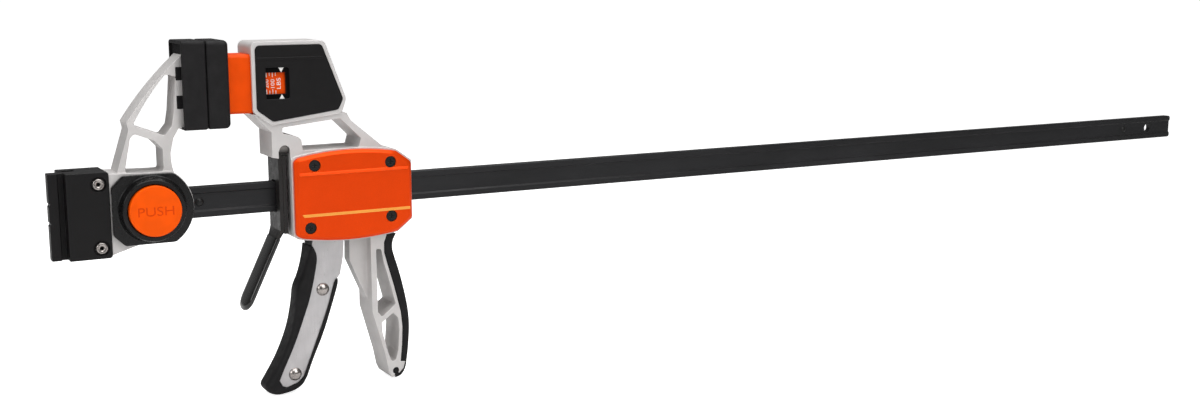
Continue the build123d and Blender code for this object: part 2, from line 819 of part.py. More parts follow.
def handle():
    half = handle_half_width
    grip = across(handle_outline(), -half, half)
    upper = [(34.9, -50), (39.6, -51), (42.1, -64), (47.7, -84), (51.8, -100.5), (39, -110.6), (35.3, -106)]
    lower = [(49.2, -108), (53.8, -113), (54.6, -124), (53, -142.5), (50.8, -150.5)]
    lower += [(46.8, -151.5), (43.2, -141), (39, -124), (38.6, -115.5)]
    grip -= across(from_pivot(upper), -half, half, frame_window_r)
    grip -= across(from_pivot(lower), -half, half, handle_window_r)
    wall_x = handle_x + 2
    web = from_pivot([(15, -30), (14.3, -59.9), (27.6, -91)]) + [(wall_x, -100), (wall_x, -30)]
    grip += across(web, -web_half_width, web_half_width)
    bulb = rod_across(strap_bulb_x, strap_bulb_z, strap_bulb_r, -half, half)
    return grip - bulb - across(strap_hook() + [strap_outer()[0], strap_outer()[1]], -half, half)


def trigger_cavity():
    """Room in the body for the trigger's two plates over their whole swing."""
    low = body_low_z - 2
    high = pivot_z + 12
    side = [(-24, low), (-12.5, pivot_z), (-11, high), (12, high), (15, pivot_z - 8), (28, -30), (28, low)]
    room = across(from_pivot(side), -cavity_half_width, cavity_half_width)
    shoulder = from_pivot([(13.5, pivot_z - 12), (13.5, low), (30, low), (30, -30)])
    return room - across(shoulder, -web_half_width, web_half_width)


def movable_jaw_frame():
    frame = across(housing_points(0.0), -housing_half_width, housing_half_width, housing_corner_r)
    frame += upper_frame() + handle() + body_slab(0.0, -body_half_width, body_half_width)
    frame -= gauge_pocket()
    frame -= trigger_cavity()
    bay = spring_bay_half_width
    low, high = drive_low_z - drive_bay_margin, drive_high_z + drive_bay_margin
    frame -= box(pivot_x - 11, drive_bay_right_x, -bay, bay, low, high)
    frame -= bar_room(body_left_x, body_right_x)
    pocket_r = brake_spring_r + brake_spring_wire + body_gap
    frame -= rod_along(0, brake_spring_z, pocket_r, body_left_x, body_left_x + brake_spring_pocket)
    frame -= rod_across(pivot_x, pivot_z, pivot_r, -body_half_width, body_half_width)
    for x, z in cover_screw_places():
        for side in (-1, 1):
            ends = sorted((side * body_half_width, side * (body_half_width - screw_reach())))
            frame -= rod_across(x, z, screw_shank_r, *ends)
    return frame


def gauge_pocket():
    """Bore of the plunger, the recesses for both covers and their peg holes."""
    half_y, low, high = plunger_outside, plunger_low_z - run_fit, plunger_high_z + run_fit
    bore = box(housing_front_x, pocket_rear_x, -half_y, half_y, low, high)
    room = fillet(bore.edges().filter_by(Axis.X), plunger_edge_r)
    for side in (-1, 1):
        ends = sorted((side * half_y, side * housing_half_width))
        room += across(housing_points(gauge_cover_rim), *ends, gauge_cover_corner_r)
        for x, z in gauge_peg_places():
            peg = sorted((side * half_y, side * (half_y - gauge_peg_length)))
            room += rod_across(x, z, gauge_peg_r, *peg)
    return room + rod_along(0, gauge_axis_z, guide_bolt_r, pocket_rear_x, pocket_rear_x + guide_bolt_seat)


# Body covers and their screws


def cover_screw_places():
    left, right = body_left_x, body_right_x - 20.5
    return [(left + 18.3, 26), (right, 25), (left + 13.3, -26), (right, -21.5)]


def screw_reach():
    return screw_length - (cover_thick - screw_well_depth)


def cover_plate(side):
    """Cover on one side of the body, with a bevelled rim and a raised ridge."""
    plate = body_slab(cover_margin, *sorted((side * body_half_width, side * cover_face_y)))
    face = plate.faces().sort_by(Axis.Y)[0 if side < 0 else -1]
    plate = chamfer(face.edges(), cover_bevel, cover_bevel_width)
    ridge_low, ridge_high = body_left_x + cover_ridge_inset, body_right_x - cover_ridge_inset
    foot, crest = sorted((side * cover_face_y, side * (cover_face_y + cover_ridge_height)))
    plate += box(ridge_low, ridge_high, foot, crest, cover_ridge_z, cover_ridge_z + cover_ridge_width)
    for x, z in cover_screw_places():
        well = sorted((side * cover_face_y, side * (cover_face_y - screw_well_depth)))
        plate -= rod_across(x, z, screw_well_r, *well)
        plate -= rod_across(x, z, screw_shank_r, *sorted((side * body_half_width, side * cover_face_y)))
    return plate


def cover_screws(side):
    seat = cover_face_y - screw_well_depth
    top = seat + screw_head
    screws = []
    for x, z in cover_screw_places():
        head = rod_across(x, z, screw_head_r, *sorted((side * seat, side * top)))
        shank = rod_across(x, z, screw_shank_r, *sorted((side * seat, side * (seat - screw_length))))
        slot = sorted((side * top, side * (top - screw_cross_depth)))
        half, arm = screw_cross_width / 2, screw_cross / 2
        head -= box(x - arm, x + arm, *slot, z - half, z + half)
        head -= box(x - half, x + half, *slot, z - arm, z + arm)
        screws.append(head + shank)
    return screws


# Brake lever


def lever_length():
    return hypot(lever_lean, lever_tip_z - lever_bend_z)


def lever_plane():
    """Middle plane of the slanting arm: x runs down it from the bend, y across the clamp."""
    slope_x, slope_z = -lever_lean / lever_length(), (lever_tip_z - lever_bend_z) / lever_length()
    origin = (brake_plate_x + brake_plate_thick / 2, 0, lever_bend_z)
    return Plane(origin=origin, x_dir=(slope_x, 0, slope_z), z_dir=(-slope_z, 0, slope_x))


def lever_arm(half_width, half_thick, start, extra, tip_r):
    """The slanting arm as a flat strip with a rounded tip, from start on, extra longer at the tip."""
    end = lever_length() + extra
    points = [(start, -half_width), (end, -half_width), (end, half_width), (start, half_width)]
    face = make_face(lever_plane() * outline(points, [0, tip_r, tip_r, 0]))
    return extrude(face, half_thick, both=True)


def lever_shoulder():
    """The stretch below the bend, where the plate narrows to the arm."""
    top, low = brake_half_width, lever_half_width
    points = [(-lever_overlap, -top), (0, -top), (sleeve_start, -low)]
    points += [(x, -y) for x, y in reversed(points)]
    return extrude(make_face(lever_plane() * outline(points, 0)), brake_plate_thick / 2, both=True)


def bar_window(low_x, high_x):
    """Opening of a jamming plate for the bar."""
    half_y = bar_thick / 2 + brake_slot_gap
    half_z = bar_height / 2 + brake_slot_gap
    return box(low_x, high_x, -half_y, half_y, -half_z, half_z)


def release_lever():
    """Plate that hangs in the hook by its rolled top, grips the bar and bends into the lever."""
    half = brake_half_width
    left, right = brake_plate_x, brake_plate_x + brake_plate_thick
    plate = box(left, right, -half, half, lever_bend_z, hook_z - 1)
    plate += rod_across(hook_x, hook_z, hook_r, -half, half)
    plate += lever_shoulder() + lever_arm(lever_half_width, brake_plate_thick / 2, 0, 0, lever_tip_r)
    plate -= bar_window(left, right)
    clear_z = brake_plate_low_z - body_gap
    return plate - box(right, hook_x + hook_r, -half, half, clear_z, hook_z - hook_r / 2)


def brake_plate():
    half = brake_half_width
    left = brake_plate_x + brake_plate_thick
    plate = box(left, brake_right_x, -half, half, brake_plate_low_z, hook_z - hook_r)
    return plate - bar_window(left, brake_right_x)


def lever_sleeve():
    """Dipped vinyl sleeve over the lever's lower end."""
    thick, half = brake_plate_thick / 2, lever_half_width
    wall = sleeve_wall
    skin = lever_arm(half + wall, thick + wall, sleeve_start, wall, lever_tip_r + wall)
    broad = skin.faces().sort_by(SortBy.AREA)[-2:]
    rims = [edge for face in broad for edge in face.edges()]
    skin = fillet(rims, sleeve_edge_r)
    return skin - lever_arm(half, thick, 0, 0, lever_tip_r)


def brake_spring():
    """Small spring under the bar that tips both plates against the hook."""
    length = body_left_x + brake_spring_pocket - brake_right_x
    start = (brake_right_x, 0, brake_spring_z)
    return coil(brake_spring_r, brake_spring_wire, brake_spring_turns, start, length, (1, 0, 0))


# Trigger


def trigger_plate(side):
    """Steel side plate from the pivot eye down to the lower rivet."""
    left = [(-plate_eye_r, pivot_z), (-19.5, -42.3), (-18, -60), (-23.5, -86.4), (-31, -106.5), (-39.6, -129)]
    foot = [(-48.5, -146.7), (-52, -155.6), (-49.4, -161), (-45.7, -162.6), (-35.7, -159.5), (-30.6, -154.3)]
    right = [(-18, -124.1), (-8, -99), (-1.6, -76.4), (4, -70), (7.1, -55), (8.5, -36)]
    near, far = sorted((side * plate_inner_y, side * plate_outer_y))
    plate = across(from_pivot(left + foot + right + [(plate_eye_r, pivot_z)]), near, far)
    plate += rod_across(pivot_x, pivot_z, plate_eye_r, near, far)
    plate -= rod_across(pivot_x, pivot_z, pivot_r + run_fit, near, far)
    plate -= rod_across(roller_x, roller_z, roller_pin_r, near, far)
    for x, z in trigger_rivet_places():
        plate -= rod_across(x, z, trigger_rivet_shank_r, near, far)
    return plate


def trigger_rivet_places():
    return from_pivot([(upper_rivet_offset, upper_rivet_z), (lower_rivet_offset, lower_rivet_z)])


def trigger_rivets():
    size = (trigger_rivet_shank_r, trigger_rivet_head_r, trigger_rivet_head_height, plate_outer_y)
    return [rivet(x, z, *size) for x, z in trigger_rivet_places()]


def trigger_bushes():
    """Spacer tubes on the rivets, between the two plates."""
    bushes = []
    for x, z in trigger_rivet_places():
        tube = rod_across(x, z, trigger_bush_r, -plate_inner_y, plate_inner_y)
        bushes.append(tube - rod_across(x, z, trigger_rivet_shank_r, -plate_inner_y, plate_inner_y))
    return bushes


def roller_pin():
    return rod_across(roller_x, roller_z, roller_pin_r, -plate_outer_y, plate_outer_y)


def push_roller():
    tube = rod_across(roller_x, roller_z, roller_r, -plate_inner_y, plate_inner_y)
    return tube - rod_across(roller_x, roller_z, roller_pin_r, -plate_inner_y, plate_inner_y)


def grip_front():
    """Finger side of the grip, from the top down."""
    upper = [(-21.6, -46), (-27.3, -67), (-33.5, -79), (-34.2, -87), (-37, -107), (-41.5, -122)]
    return from_pivot(upper + [(-50.5, -141.5), (-62, -158), (-63.5, -161.5), (-61, -166), (-54, -169)])


def wrap_edge():
    """Where the rubber on the outside of the plates ends, from the foot up."""
    lower = [(-46.5, -168), (-46.2, -162.7), (-49.6, -161), (-52.2, -155.6), (-48, -146), (-38.5, -127)]
    return from_pivot(lower + [(-30.5, -106.5), (-23, -86.4), (-17, -60), (-16.2, -51), (-19.5, -44.5)])


def core_edge():
    """Rear side of the rubber between the plates, from the foot up."""
    lower = [(-38.7, -166.4), (-31.5, -162), (-26, -154.5), (-32, -149), (-30, -134), (-20, -106)]
    return from_pivot(lower + [(-13, -88), (-14, -72), (-13, -52), (-12.6, -37.5), (-19.4, -37.5)])


def trigger_grip():
    """Moulded rubber: it wraps the plates' finger side, fills between them and edges their rear side."""
    grip = across(grip_front() + wrap_edge(), -grip_half_width, grip_half_width)
    grip += across(grip_front() + core_edge(), -plate_inner_y, plate_inner_y)
    for side in (-1, 1):
        grip -= trigger_plate(side)
        grip += trigger_lip(side)
    for x, z in trigger_rivet_places():
        grip -= rod_across(x, z, trigger_bush_r, -plate_inner_y, plate_inner_y)
    return grip


def trigger_lip(side):
    """Thin rubber edging along the rear side of one plate."""
    inner = [(0, -74), (-2.4, -78), (-8.4, -99), (-18.4, -124.1), (-31, -154.3), (-36, -159.2), (-46, -162.4)]
    outer = [(-47, -168), (-38.7, -166.4), (-31.5, -162), (-27.8, -155), (-22, -140), (-12.2, -119)]
    outer += [(-3.6, -94), (1.9, -77), (1.6, -73.5)]
    near, far = sorted((side * plate_inner_y, side * (plate_outer_y + grip_wrap)))
    return across(from_pivot(inner + outer), near, far) - trigger_plate(side)


def trigger_pivot_pin():
    return rod_across(pivot_x, pivot_z, pivot_r, -body_half_width, body_half_width)


# Drive plates


def drive_plates():
    plates = []
    for index in range(drive_plate_count):
        left = stack_left_x + index * drive_plate_thick
        right = left + drive_plate_thick
        plate = box(left, right, -drive_half_width, drive_half_width, drive_low_z, drive_high_z)
        half_y, half_z = bar_thick / 2 + slide_fit, bar_height / 2 + slide_fit
        plates.append(plate - box(left, right, -half_y, half_y, -half_z, half_z))
    return plates


def drive_spring():
    start = (stack_right_x, 0, drive_spring_z)
    length = drive_bay_right_x - stack_right_x
    return coil(drive_spring_r, drive_spring_wire, drive_spring_turns, start, length, (1, 0, 0))


# Backstrap


def backstrap_grip():
    """Rubber strip down the back of the handle, hooked round its foot."""
    half = strap_half_width
    strap = across(strap_inner() + strap_hook() + strap_outer(), -half, half)
    return strap + rod_across(strap_bulb_x, strap_bulb_z, strap_bulb_r, -half, half)


pieces = {
    "bar": bar,
    "near_stop_pin": lambda: stop_pin(near_pin_x),
    "far_stop_pin": lambda: stop_pin(far_pin_x),
    "fixed_jaw_frame": fixed_jaw_frame,
    "fixed_jaw_pad": fixed_jaw_pad,
    "connector_block": connector_block,
    "connector_rivets": connector_rivets,
    "button_collar": button_collar,
    "button_back_cover": button_back_cover,
    "push_button": push_button,
    "lock_stems": lock_stems,
    "lock_yoke": lock_yoke,
    "lock_pin": lock_pin,
    "yoke_screws": yoke_screws,
    "button_spring": button_spring,
    "movable_jaw_frame": movable_jaw_frame,
    "front_cover_plate": lambda: cover_plate(-1),
    "rear_cover_plate": lambda: cover_plate(1),
    "front_cover_screws": lambda: cover_screws(-1),
    "rear_cover_screws": lambda: cover_screws(1),
    "front_gauge_cover": lambda: gauge_cover(-1),
    "rear_gauge_cover": lambda: gauge_cover(1),
    "gauge_plunger": gauge_plunger,
    "gauge_guide_bolt": guide_bolt,
    "gauge_spring": gauge_spring,
    "moving_jaw_pad": moving_jaw_pad,
    "backstrap_grip": backstrap_grip,
    "release_lever": release_lever,
    "brake_plate": brake_plate,
    "lever_sleeve": lever_sleeve,
    "brake_spring": brake_spring,
    "front_trigger_plate": lambda: trigger_plate(-1),
    "rear_trigger_plate": lambda: trigger_plate(1),
    "trigger_grip": trigger_grip,
    "trigger_rivets": trigger_rivets,
    "trigger_bushes": trigger_bushes,
    "roller_pin": roller_pin,
    "push_roller": push_roller,
    "trigger_pivot_pin": trigger_pivot_pin,
    "drive_plates": drive_plates,
    "drive_spring": drive_spring,
}

for name, make in pieces.items():
    save(name, make())
    print(name)
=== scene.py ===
import logging
import math
from bisect import bisect_right
from collections.abc import Callable, Iterable, Sequence
from dataclasses import dataclass, field
from enum import Enum

import bmesh
import bpy
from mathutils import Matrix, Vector
from mathutils.bvhtree import BVHTree
from mathutils.geometry import delaunay_2d_cdt


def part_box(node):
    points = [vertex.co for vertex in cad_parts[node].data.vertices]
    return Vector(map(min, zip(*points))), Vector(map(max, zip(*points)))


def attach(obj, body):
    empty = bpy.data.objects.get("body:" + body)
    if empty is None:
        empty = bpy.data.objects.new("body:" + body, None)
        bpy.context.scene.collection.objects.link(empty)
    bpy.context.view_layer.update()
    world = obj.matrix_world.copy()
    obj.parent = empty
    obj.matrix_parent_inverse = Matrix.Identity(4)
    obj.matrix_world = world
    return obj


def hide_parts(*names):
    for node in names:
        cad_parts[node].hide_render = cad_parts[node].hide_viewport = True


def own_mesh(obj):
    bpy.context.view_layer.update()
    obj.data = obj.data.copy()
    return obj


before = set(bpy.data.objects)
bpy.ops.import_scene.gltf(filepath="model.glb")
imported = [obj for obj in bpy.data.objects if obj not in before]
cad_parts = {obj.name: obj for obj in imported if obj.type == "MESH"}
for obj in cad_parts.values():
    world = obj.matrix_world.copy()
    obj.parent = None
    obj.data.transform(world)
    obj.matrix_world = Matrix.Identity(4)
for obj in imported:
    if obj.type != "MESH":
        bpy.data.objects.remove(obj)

# Looks of a one-hand bar clamp with a load gauge, a coupler block and a removable fixed jaw.
# Sizes are in millimetres and turned to metres by MM; X runs along the bar, Y to the rear, Z up.

MM = 0.001
X_AXIS, Y_AXIS = 0, 1

Piece = bpy.types.Object
Socket = bpy.types.NodeSocket
Spot = tuple[float, float]
Place = tuple[float, float, float]
Colour = tuple[float, float, float]
EdgeTest = Callable[[Vector, Vector], bool]

EVEN: Place = (1.0, 1.0, 1.0)
WHITE = (1.0, 1.0, 1.0, 1.0)
FULL: Spot = (0.0, 1.0)
MIDDLE: Spot = (0.35, 0.65)

log = logging.getLogger("bar_clamp")


class Body(Enum):
    """The bodies of the clamp that modelled pieces move with."""

    BAR = "bar_and_fixed_jaw"
    BUTTON = "lock_button"
    HEAD = "moving_jaw"
    PLUNGER = "plunger"
    RELEASE = "release"
    TRIGGER = "trigger"


class Side(Enum):
    """The two sides of the clamp; its value is the direction along Y."""

    FRONT = -1
    REAR = 1

    @property
    def label(self) -> str:
        """Word that names the side in a piece's name."""
        return self.name.lower()

    def span(self, near: float, far: float) -> Spot:
        """The lower and the higher of two places out on this side."""
        return tuple(sorted((self.value * near, self.value * far)))


# Materials


class Tree:
    """A node tree that starts empty, and a short call that adds nodes to it."""

    def __init__(self, owner: bpy.types.Material | bpy.types.World) -> None:
        """Empty the tree of a material or a world.

        Args:
            owner: The material or world.
        """
        owner.use_nodes = True
        self.tree = owner.node_tree
        self.tree.nodes.clear()

    def add(self, kind: str, inputs: dict[int | str, object], **settings: object) -> bpy.types.Node:
        """Add a node.

        Args:
            kind: Its type, without the words that all types start with.
            inputs: By name or number, a socket to link or a value to set.
            settings: Its other settings.

        Returns:
            The node.
        """
        node = self.tree.nodes.new("ShaderNode" + kind)
        for name, value in settings.items():
            setattr(node, name, value)
        for key, value in inputs.items():
            if isinstance(value, Socket):
                self.tree.links.new(value, node.inputs[key])
            else:
                node.inputs[key].default_value = value
        return node

    def background(self) -> Socket:
        """1 for rays that see the background, straight from the camera or through clear things, else 0.

        Returns:
            The value socket.
        """
        path = self.add("LightPath", {}).outputs
        rays = {0: path["Is Camera Ray"], 1: path["Is Transmission Ray"]}
        return self.add("Math", rays, operation="MAXIMUM").outputs[0]


class Nodes(Tree):
    """A new material with one surface shader, and short calls for the nodes that feed it."""

    def __init__(self, name: str) -> None:
        """Make the material under a name.

        Args:
            name: Its name.
        """
        self.material = bpy.data.materials.new(name)
        super().__init__(self.material)
        self.surface = self.add("BsdfPrincipled", {})
        self.add("OutputMaterial", {"Surface": self.surface.outputs["BSDF"]})

    def place(self, stretch: Place = EVEN) -> Socket:
        """Coordinates on the object, scaled along each axis."""
        where = self.add("TexCoord", {}).outputs["Object"]
        return self.add("Mapping", {"Scale": stretch, "Vector": where}).outputs["Vector"]

    def height(self) -> Socket:
        """Height on the object, in metres."""
        return self.add("SeparateXYZ", {0: self.place()}).outputs["Z"]

    def noise(self, size: float, detail: float = 3.0, stretch: Place = EVEN) -> Socket:
        """Cloudy noise from 0 to 1, with blotches of a size in millimetres and octaves of finer detail."""
        inputs = {"Scale": 1.0 / (size * MM), "Detail": detail, "Vector": self.place(stretch)}
        return self.add("TexNoise", inputs).outputs["Fac"]

    def cells(self, size: float) -> Socket:
        """Distance in a field of small cells, for grains and pits of a size in millimetres."""
        inputs = {"Scale": 1.0 / (size * MM), "Vector": self.place()}
        return self.add("TexVoronoi", inputs).outputs["Distance"]

    def rounded(self, radius: float) -> Socket:
        """Normal with every edge softened to a radius in millimetres."""
        return self.add("Bevel", {"Radius": radius * MM}, samples=6).outputs["Normal"]

    def edges(self, width: float, strength: float) -> Socket:
        """Where the surface turns over an edge.

        Args:
            width: Width of the band along each edge in millimetres.
            strength: Value on the edge itself; flat faces get 0.

        Returns:
            The value socket.
        """
        normals = {0: self.rounded(width), 1: self.add("NewGeometry", {}).outputs["Normal"]}
        turn = self.add("VectorMath", normals, operation="DOT_PRODUCT").outputs["Value"]
        band = self.remap(turn, (0.995, 0.88), FULL)
        patch = self.remap(self.noise(5.0, 4.0), (0.3, 0.6), (0.35 * strength, strength))
        return self.add("Math", {0: band, 1: patch}, operation="MULTIPLY").outputs[0]

    def remap(self, value: Socket, start: Spot, end: Spot) -> Socket:
        """Stretch a value from one range, in which it is clamped, to another."""
        ranges = {"From Min": start[0], "From Max": start[1], "To Min": end[0], "To Max": end[1]}
        return self.add("MapRange", {**ranges, "Value": value}).outputs["Result"]

    def blend(self, share: Socket, first: Colour | Socket, second: Colour | Socket) -> Socket:
        """Mix two colours, given as such or by their sockets, by the share of the second."""
        first, second = (part if isinstance(part, Socket) else (*part, 1.0) for part in (first, second))
        return self.add("Mix", {0: share, 6: first, 7: second}, data_type="RGBA").outputs[2]

    def clouds(
        self, value: Socket, first: Colour | Socket, second: Colour | Socket, spread: Spot = MIDDLE
    ) -> Socket:
        """Mix two colours where a noise lies low or high in its range."""
        return self.blend(self.remap(value, spread, FULL), first, second)

    def bump(self, height: Socket, depth: float, below: Socket | None = None) -> Socket:
        """Relief from a height, with its depth in millimetres, over another relief that may lie below."""
        lower = {} if below is None else {"Normal": below}
        return self.add("Bump", {"Distance": depth * MM, "Height": height, **lower}).outputs["Normal"]

    def feed(self, name: str, socket: Socket) -> None:
        """Drive one input of the shader."""
        self.tree.links.new(socket, self.surface.inputs[name])

    def set(self, **values: float) -> None:
        """Set inputs of the shader that are the same all over."""
        for name, value in values.items():
            self.surface.inputs[name.replace("_", " ")].default_value = value


@dataclass(frozen=True)
class Finish:
    """What every finish has: its name, its slot, and the look of its clean surface."""

    name: str
    slot: str
    colour: Colour
    roughness: float
    metallic: float = 0.0
    specular: float = 0.5

    def tint(self, factor: float) -> Colour:
        """The colour made lighter or darker."""
        return tuple(min(1.0, part * factor) for part in self.colour)

    def roughen(self, nodes: Nodes, noise: Socket, less: float, more: float) -> None:
        """Let the roughness follow a noise, from a little less to a little more than it is."""
        ends = (self.roughness - less, self.roughness + more)
        nodes.feed("Roughness", nodes.remap(noise, (0.3, 0.7), ends))

    def build(self) -> bpy.types.Material:
        """Make the material, with what is the same all over set on its shader.

        Returns:
            The material.
        """
        nodes = Nodes(self.name)
        nodes.set(Metallic=self.metallic, Specular_IOR_Level=self.specular)
        self.texture(nodes)
        return nodes.material

    def texture(self, nodes: Nodes) -> None:
        """Add the nodes that vary over the surface."""
        raise NotImplementedError


@dataclass(frozen=True)
class Casting(Finish):
    """Blasted aluminium casting: soft clouds, fine grain and a painted highlight along its edges."""

    grain: float = 0.35
    depth: float = 0.03
    edge_sheen: float = 1.3
    softness: float = 0.8

    def texture(self, nodes: Nodes) -> None:
        """Add the nodes that vary over the surface.

        Args:
            nodes: The material's nodes.
        """
        shade = nodes.clouds(nodes.noise(26.0, 4.0), self.tint(0.93), self.tint(1.04))
        speck = nodes.remap(nodes.cells(0.5), (0.0, 0.5), (0.35, 0.0))
        shade = nodes.blend(speck, shade, self.tint(0.82))
        # Painted highlight: the edges turn lighter where rounded edges would catch the light.
        nodes.feed("Base Color", nodes.blend(nodes.edges(1.1, 0.9), shade, self.tint(self.edge_sheen)))
        self.roughen(nodes, nodes.noise(9.0, 3.0), 0.06, 0.08)
        skin = nodes.bump(nodes.noise(3.2, 2.0), 0.035, nodes.rounded(self.softness))
        nodes.feed("Normal", nodes.bump(nodes.noise(self.grain, 2.0), self.depth, skin))


@dataclass(frozen=True)
class Moulding(Finish):
    """Moulded plastic with a fine spark texture and a painted sheen on its edges."""

    grain: float = 0.3
    depth: float = 0.012
    edge_sheen: float = 1.6

    def texture(self, nodes: Nodes) -> None:
        """Add the nodes that vary over the surface.

        Args:
            nodes: The material's nodes.
        """
        shade = nodes.clouds(nodes.noise(14.0, 3.0), self.tint(0.95), self.tint(1.04))
        # Painted sheen: the edges turn lighter where they would reflect the lamps.
        nodes.feed("Base Color", nodes.blend(nodes.edges(0.5, 0.7), shade, self.tint(self.edge_sheen)))
        self.roughen(nodes, nodes.noise(4.0, 3.0), 0.05, 0.07)
        swell = nodes.bump(nodes.noise(7.0, 1.0), 0.02)
        nodes.feed("Normal", nodes.bump(nodes.noise(self.grain, 1.0), self.depth, swell))


@dataclass(frozen=True)
class Rubber(Finish):
    """Matt moulded rubber: fine pores, faint bloom and dust."""

    bloom_and_sheen: float = 1.9
    pore: float = 0.45
    depth: float = 0.035

    def texture(self, nodes: Nodes) -> None:
        """Add the nodes that vary over the surface.

        Args:
            nodes: The material's nodes.
        """
        dust = nodes.remap(nodes.noise(11.0, 5.0), (0.42, 0.72), (0.0, 0.5))
        shade = nodes.blend(dust, self.colour, self.tint(self.bloom_and_sheen))
        # Lighter edges: partly worn rubber, partly a painted sheen where rounded edges reflect light.
        nodes.feed("Base Color", nodes.blend(nodes.edges(0.6, 0.6), shade, self.tint(self.bloom_and_sheen)))
        self.roughen(nodes, nodes.noise(5.0, 4.0), 0.07, 0.1)
        skin = nodes.bump(nodes.noise(2.4, 2.0), 0.03)
        nodes.feed("Normal", nodes.bump(nodes.cells(self.pore), self.depth, skin))


@dataclass(frozen=True)
class BlackenedSteel(Finish):
    """Blackened steel with fine drawing lines along one axis and lighter edges, partly bare metal worn
    through and partly a painted sheen.
    """

    lines: Place = (0.02, 1.0, 1.0)
    cloud: float = 1.45
    bare_and_highlight: Spot | None = None
    bare_and_highlight_colour: Colour = (0.30, 0.285, 0.27)
    worn_and_sheen_colour: Colour = (0.09, 0.085, 0.08)

    def texture(self, nodes: Nodes) -> None:
        """Add the nodes; between two given heights the surface turns lighter upwards, partly as bare steel
        worn where it pivots and partly as a painted highlight.

        Args:
            nodes: The material's nodes.
        """
        patch = nodes.noise(30.0, 5.0, (0.25, 1.0, 1.0))
        shade = nodes.clouds(patch, self.tint(0.85), self.tint(self.cloud), (0.35, 0.7))
        lines = nodes.noise(0.7, 3.0, self.lines)
        shade = nodes.blend(nodes.remap(lines, (0.56, 0.75), (0.0, 0.4)), shade, self.tint(2.1))
        # Lighter edges: partly worn through to bare metal, partly a painted sheen where rounded edges
        # reflect light.
        shade = nodes.blend(nodes.edges(0.35, 0.5), shade, self.worn_and_sheen_colour)
        # Painted highlight and wear: lighter towards the top between the two heights.
        if self.bare_and_highlight:
            rise = nodes.remap(nodes.height(), (self.bare_and_highlight[0] * MM, self.bare_and_highlight[1] * MM), (0.0, 0.85))
            shade = nodes.blend(rise, shade, self.bare_and_highlight_colour)
        nodes.feed("Base Color", shade)
        self.roughen(nodes, nodes.noise(6.0, 4.0, (0.2, 1.0, 1.0)), 0.08, 0.12)
        scale = nodes.bump(nodes.noise(1.6, 3.0), 0.012, nodes.rounded(0.3))
        nodes.feed("Normal", nodes.bump(lines, 0.008, scale))


@dataclass(frozen=True)
class BrushedSteel(Finish):
    """Steel sheet brushed up and down, with soft stains."""

    strokes: Place = (1.0, 1.0, 0.03)
    stroke_size: float = 0.4

    def texture(self, nodes: Nodes) -> None:
        """Add the nodes that vary over the surface.

        Args:
            nodes: The material's nodes.
        """
        strokes = nodes.noise(self.stroke_size, 4.0, self.strokes)
        shade = nodes.clouds(nodes.noise(18.0, 4.0), self.tint(0.9), self.tint(1.05))
        line = nodes.remap(strokes, MIDDLE, (0.0, 0.3))
        nodes.feed("Base Color", nodes.blend(line, shade, self.tint(0.85)))
        self.roughen(nodes, strokes, 0.07, 0.1)
        nodes.feed("Normal", nodes.bump(strokes, 0.006))


@dataclass(frozen=True)
class BrightMetal(Finish):
    """Plated or spring steel with faint haze and handling marks."""

    haze: float = 0.12

    def texture(self, nodes: Nodes) -> None:
        """Add the nodes that vary over the surface.

        Args:
            nodes: The material's nodes.
        """
        haze = nodes.noise(1.8, 4.0)
        nodes.feed("Base Color", nodes.clouds(haze, self.colour, self.tint(0.8), (0.4, 0.7)))
        self.roughen(nodes, haze, 0.0, self.haze)
        nodes.feed("Normal", nodes.bump(nodes.noise(0.6, 2.0), 0.004))


@dataclass(frozen=True)
class Paint(Finish):
    """Metal paint with fine flakes under a clear coat, a little orange peel and a painted highlight on its
    edges.
    """

    flake: float = 0.25
    coat: float = 0.35
    peel: float = 0.02
    # Colour of the painted highlight along the edges.
    edge: Colour = (1.0, 0.23, 0.03)

    def texture(self, nodes: Nodes) -> None:
        """Add the nodes that vary over the surface.

        Args:
            nodes: The material's nodes.
        """
        nodes.set(Coat_Weight=self.coat, Coat_Roughness=0.16)
        flakes = nodes.remap(nodes.cells(self.flake), (0.05, 0.6), (1.0, 0.0))
        shade = nodes.blend(flakes, self.tint(0.92), self.tint(1.12))
        stain = nodes.remap(nodes.noise(22.0, 3.0), MIDDLE, (0.0, 0.35))
        shade = nodes.blend(stain, shade, self.tint(0.86))
        # Painted highlight: the edges turn lighter where the rims would catch the top light.
        nodes.feed("Base Color", nodes.blend(nodes.edges(0.5, 0.7), shade, self.edge))
        self.roughen(nodes, nodes.noise(3.0, 3.0), 0.05, 0.08)
        nodes.feed("Normal", nodes.bump(nodes.noise(1.4, 2.0), self.peel))


@dataclass(frozen=True)
class DippedVinyl(Finish):
    """Glossy dipped vinyl that has run a little while it set."""

    def texture(self, nodes: Nodes) -> None:
        """Add the nodes that vary over the surface.

        Args:
            nodes: The material's nodes.
        """
        nodes.set(Coat_Weight=0.4, Coat_Roughness=0.04)
        smear = nodes.noise(9.0, 4.0)
        tone = nodes.remap(smear, (0.4, 0.7), (0.0, 0.6))
        nodes.feed("Base Color", nodes.blend(tone, self.colour, self.tint(1.9)))
        self.roughen(nodes, smear, 0.0, 0.16)
        runs = nodes.bump(nodes.noise(9.0, 2.0, (1.0, 1.0, 0.35)), 0.05)
        nodes.feed("Normal", nodes.bump(nodes.noise(0.5, 2.0), 0.006, runs))


@dataclass(frozen=True)
class Ink(Finish):
    """Printed ink, slightly uneven in its cover."""

    def texture(self, nodes: Nodes) -> None:
        """Add the nodes that vary over the surface.

        Args:
            nodes: The material's nodes.
        """
        cover = nodes.remap(nodes.noise(0.7, 4.0), (0.35, 0.6), FULL)
        nodes.feed("Base Color", nodes.blend(cover, self.tint(0.82), self.colour))
        nodes.feed("Roughness", nodes.remap(cover, FULL, (self.roughness + 0.1, self.roughness)))
        nodes.feed("Normal", nodes.bump(nodes.noise(0.4, 2.0), 0.006))


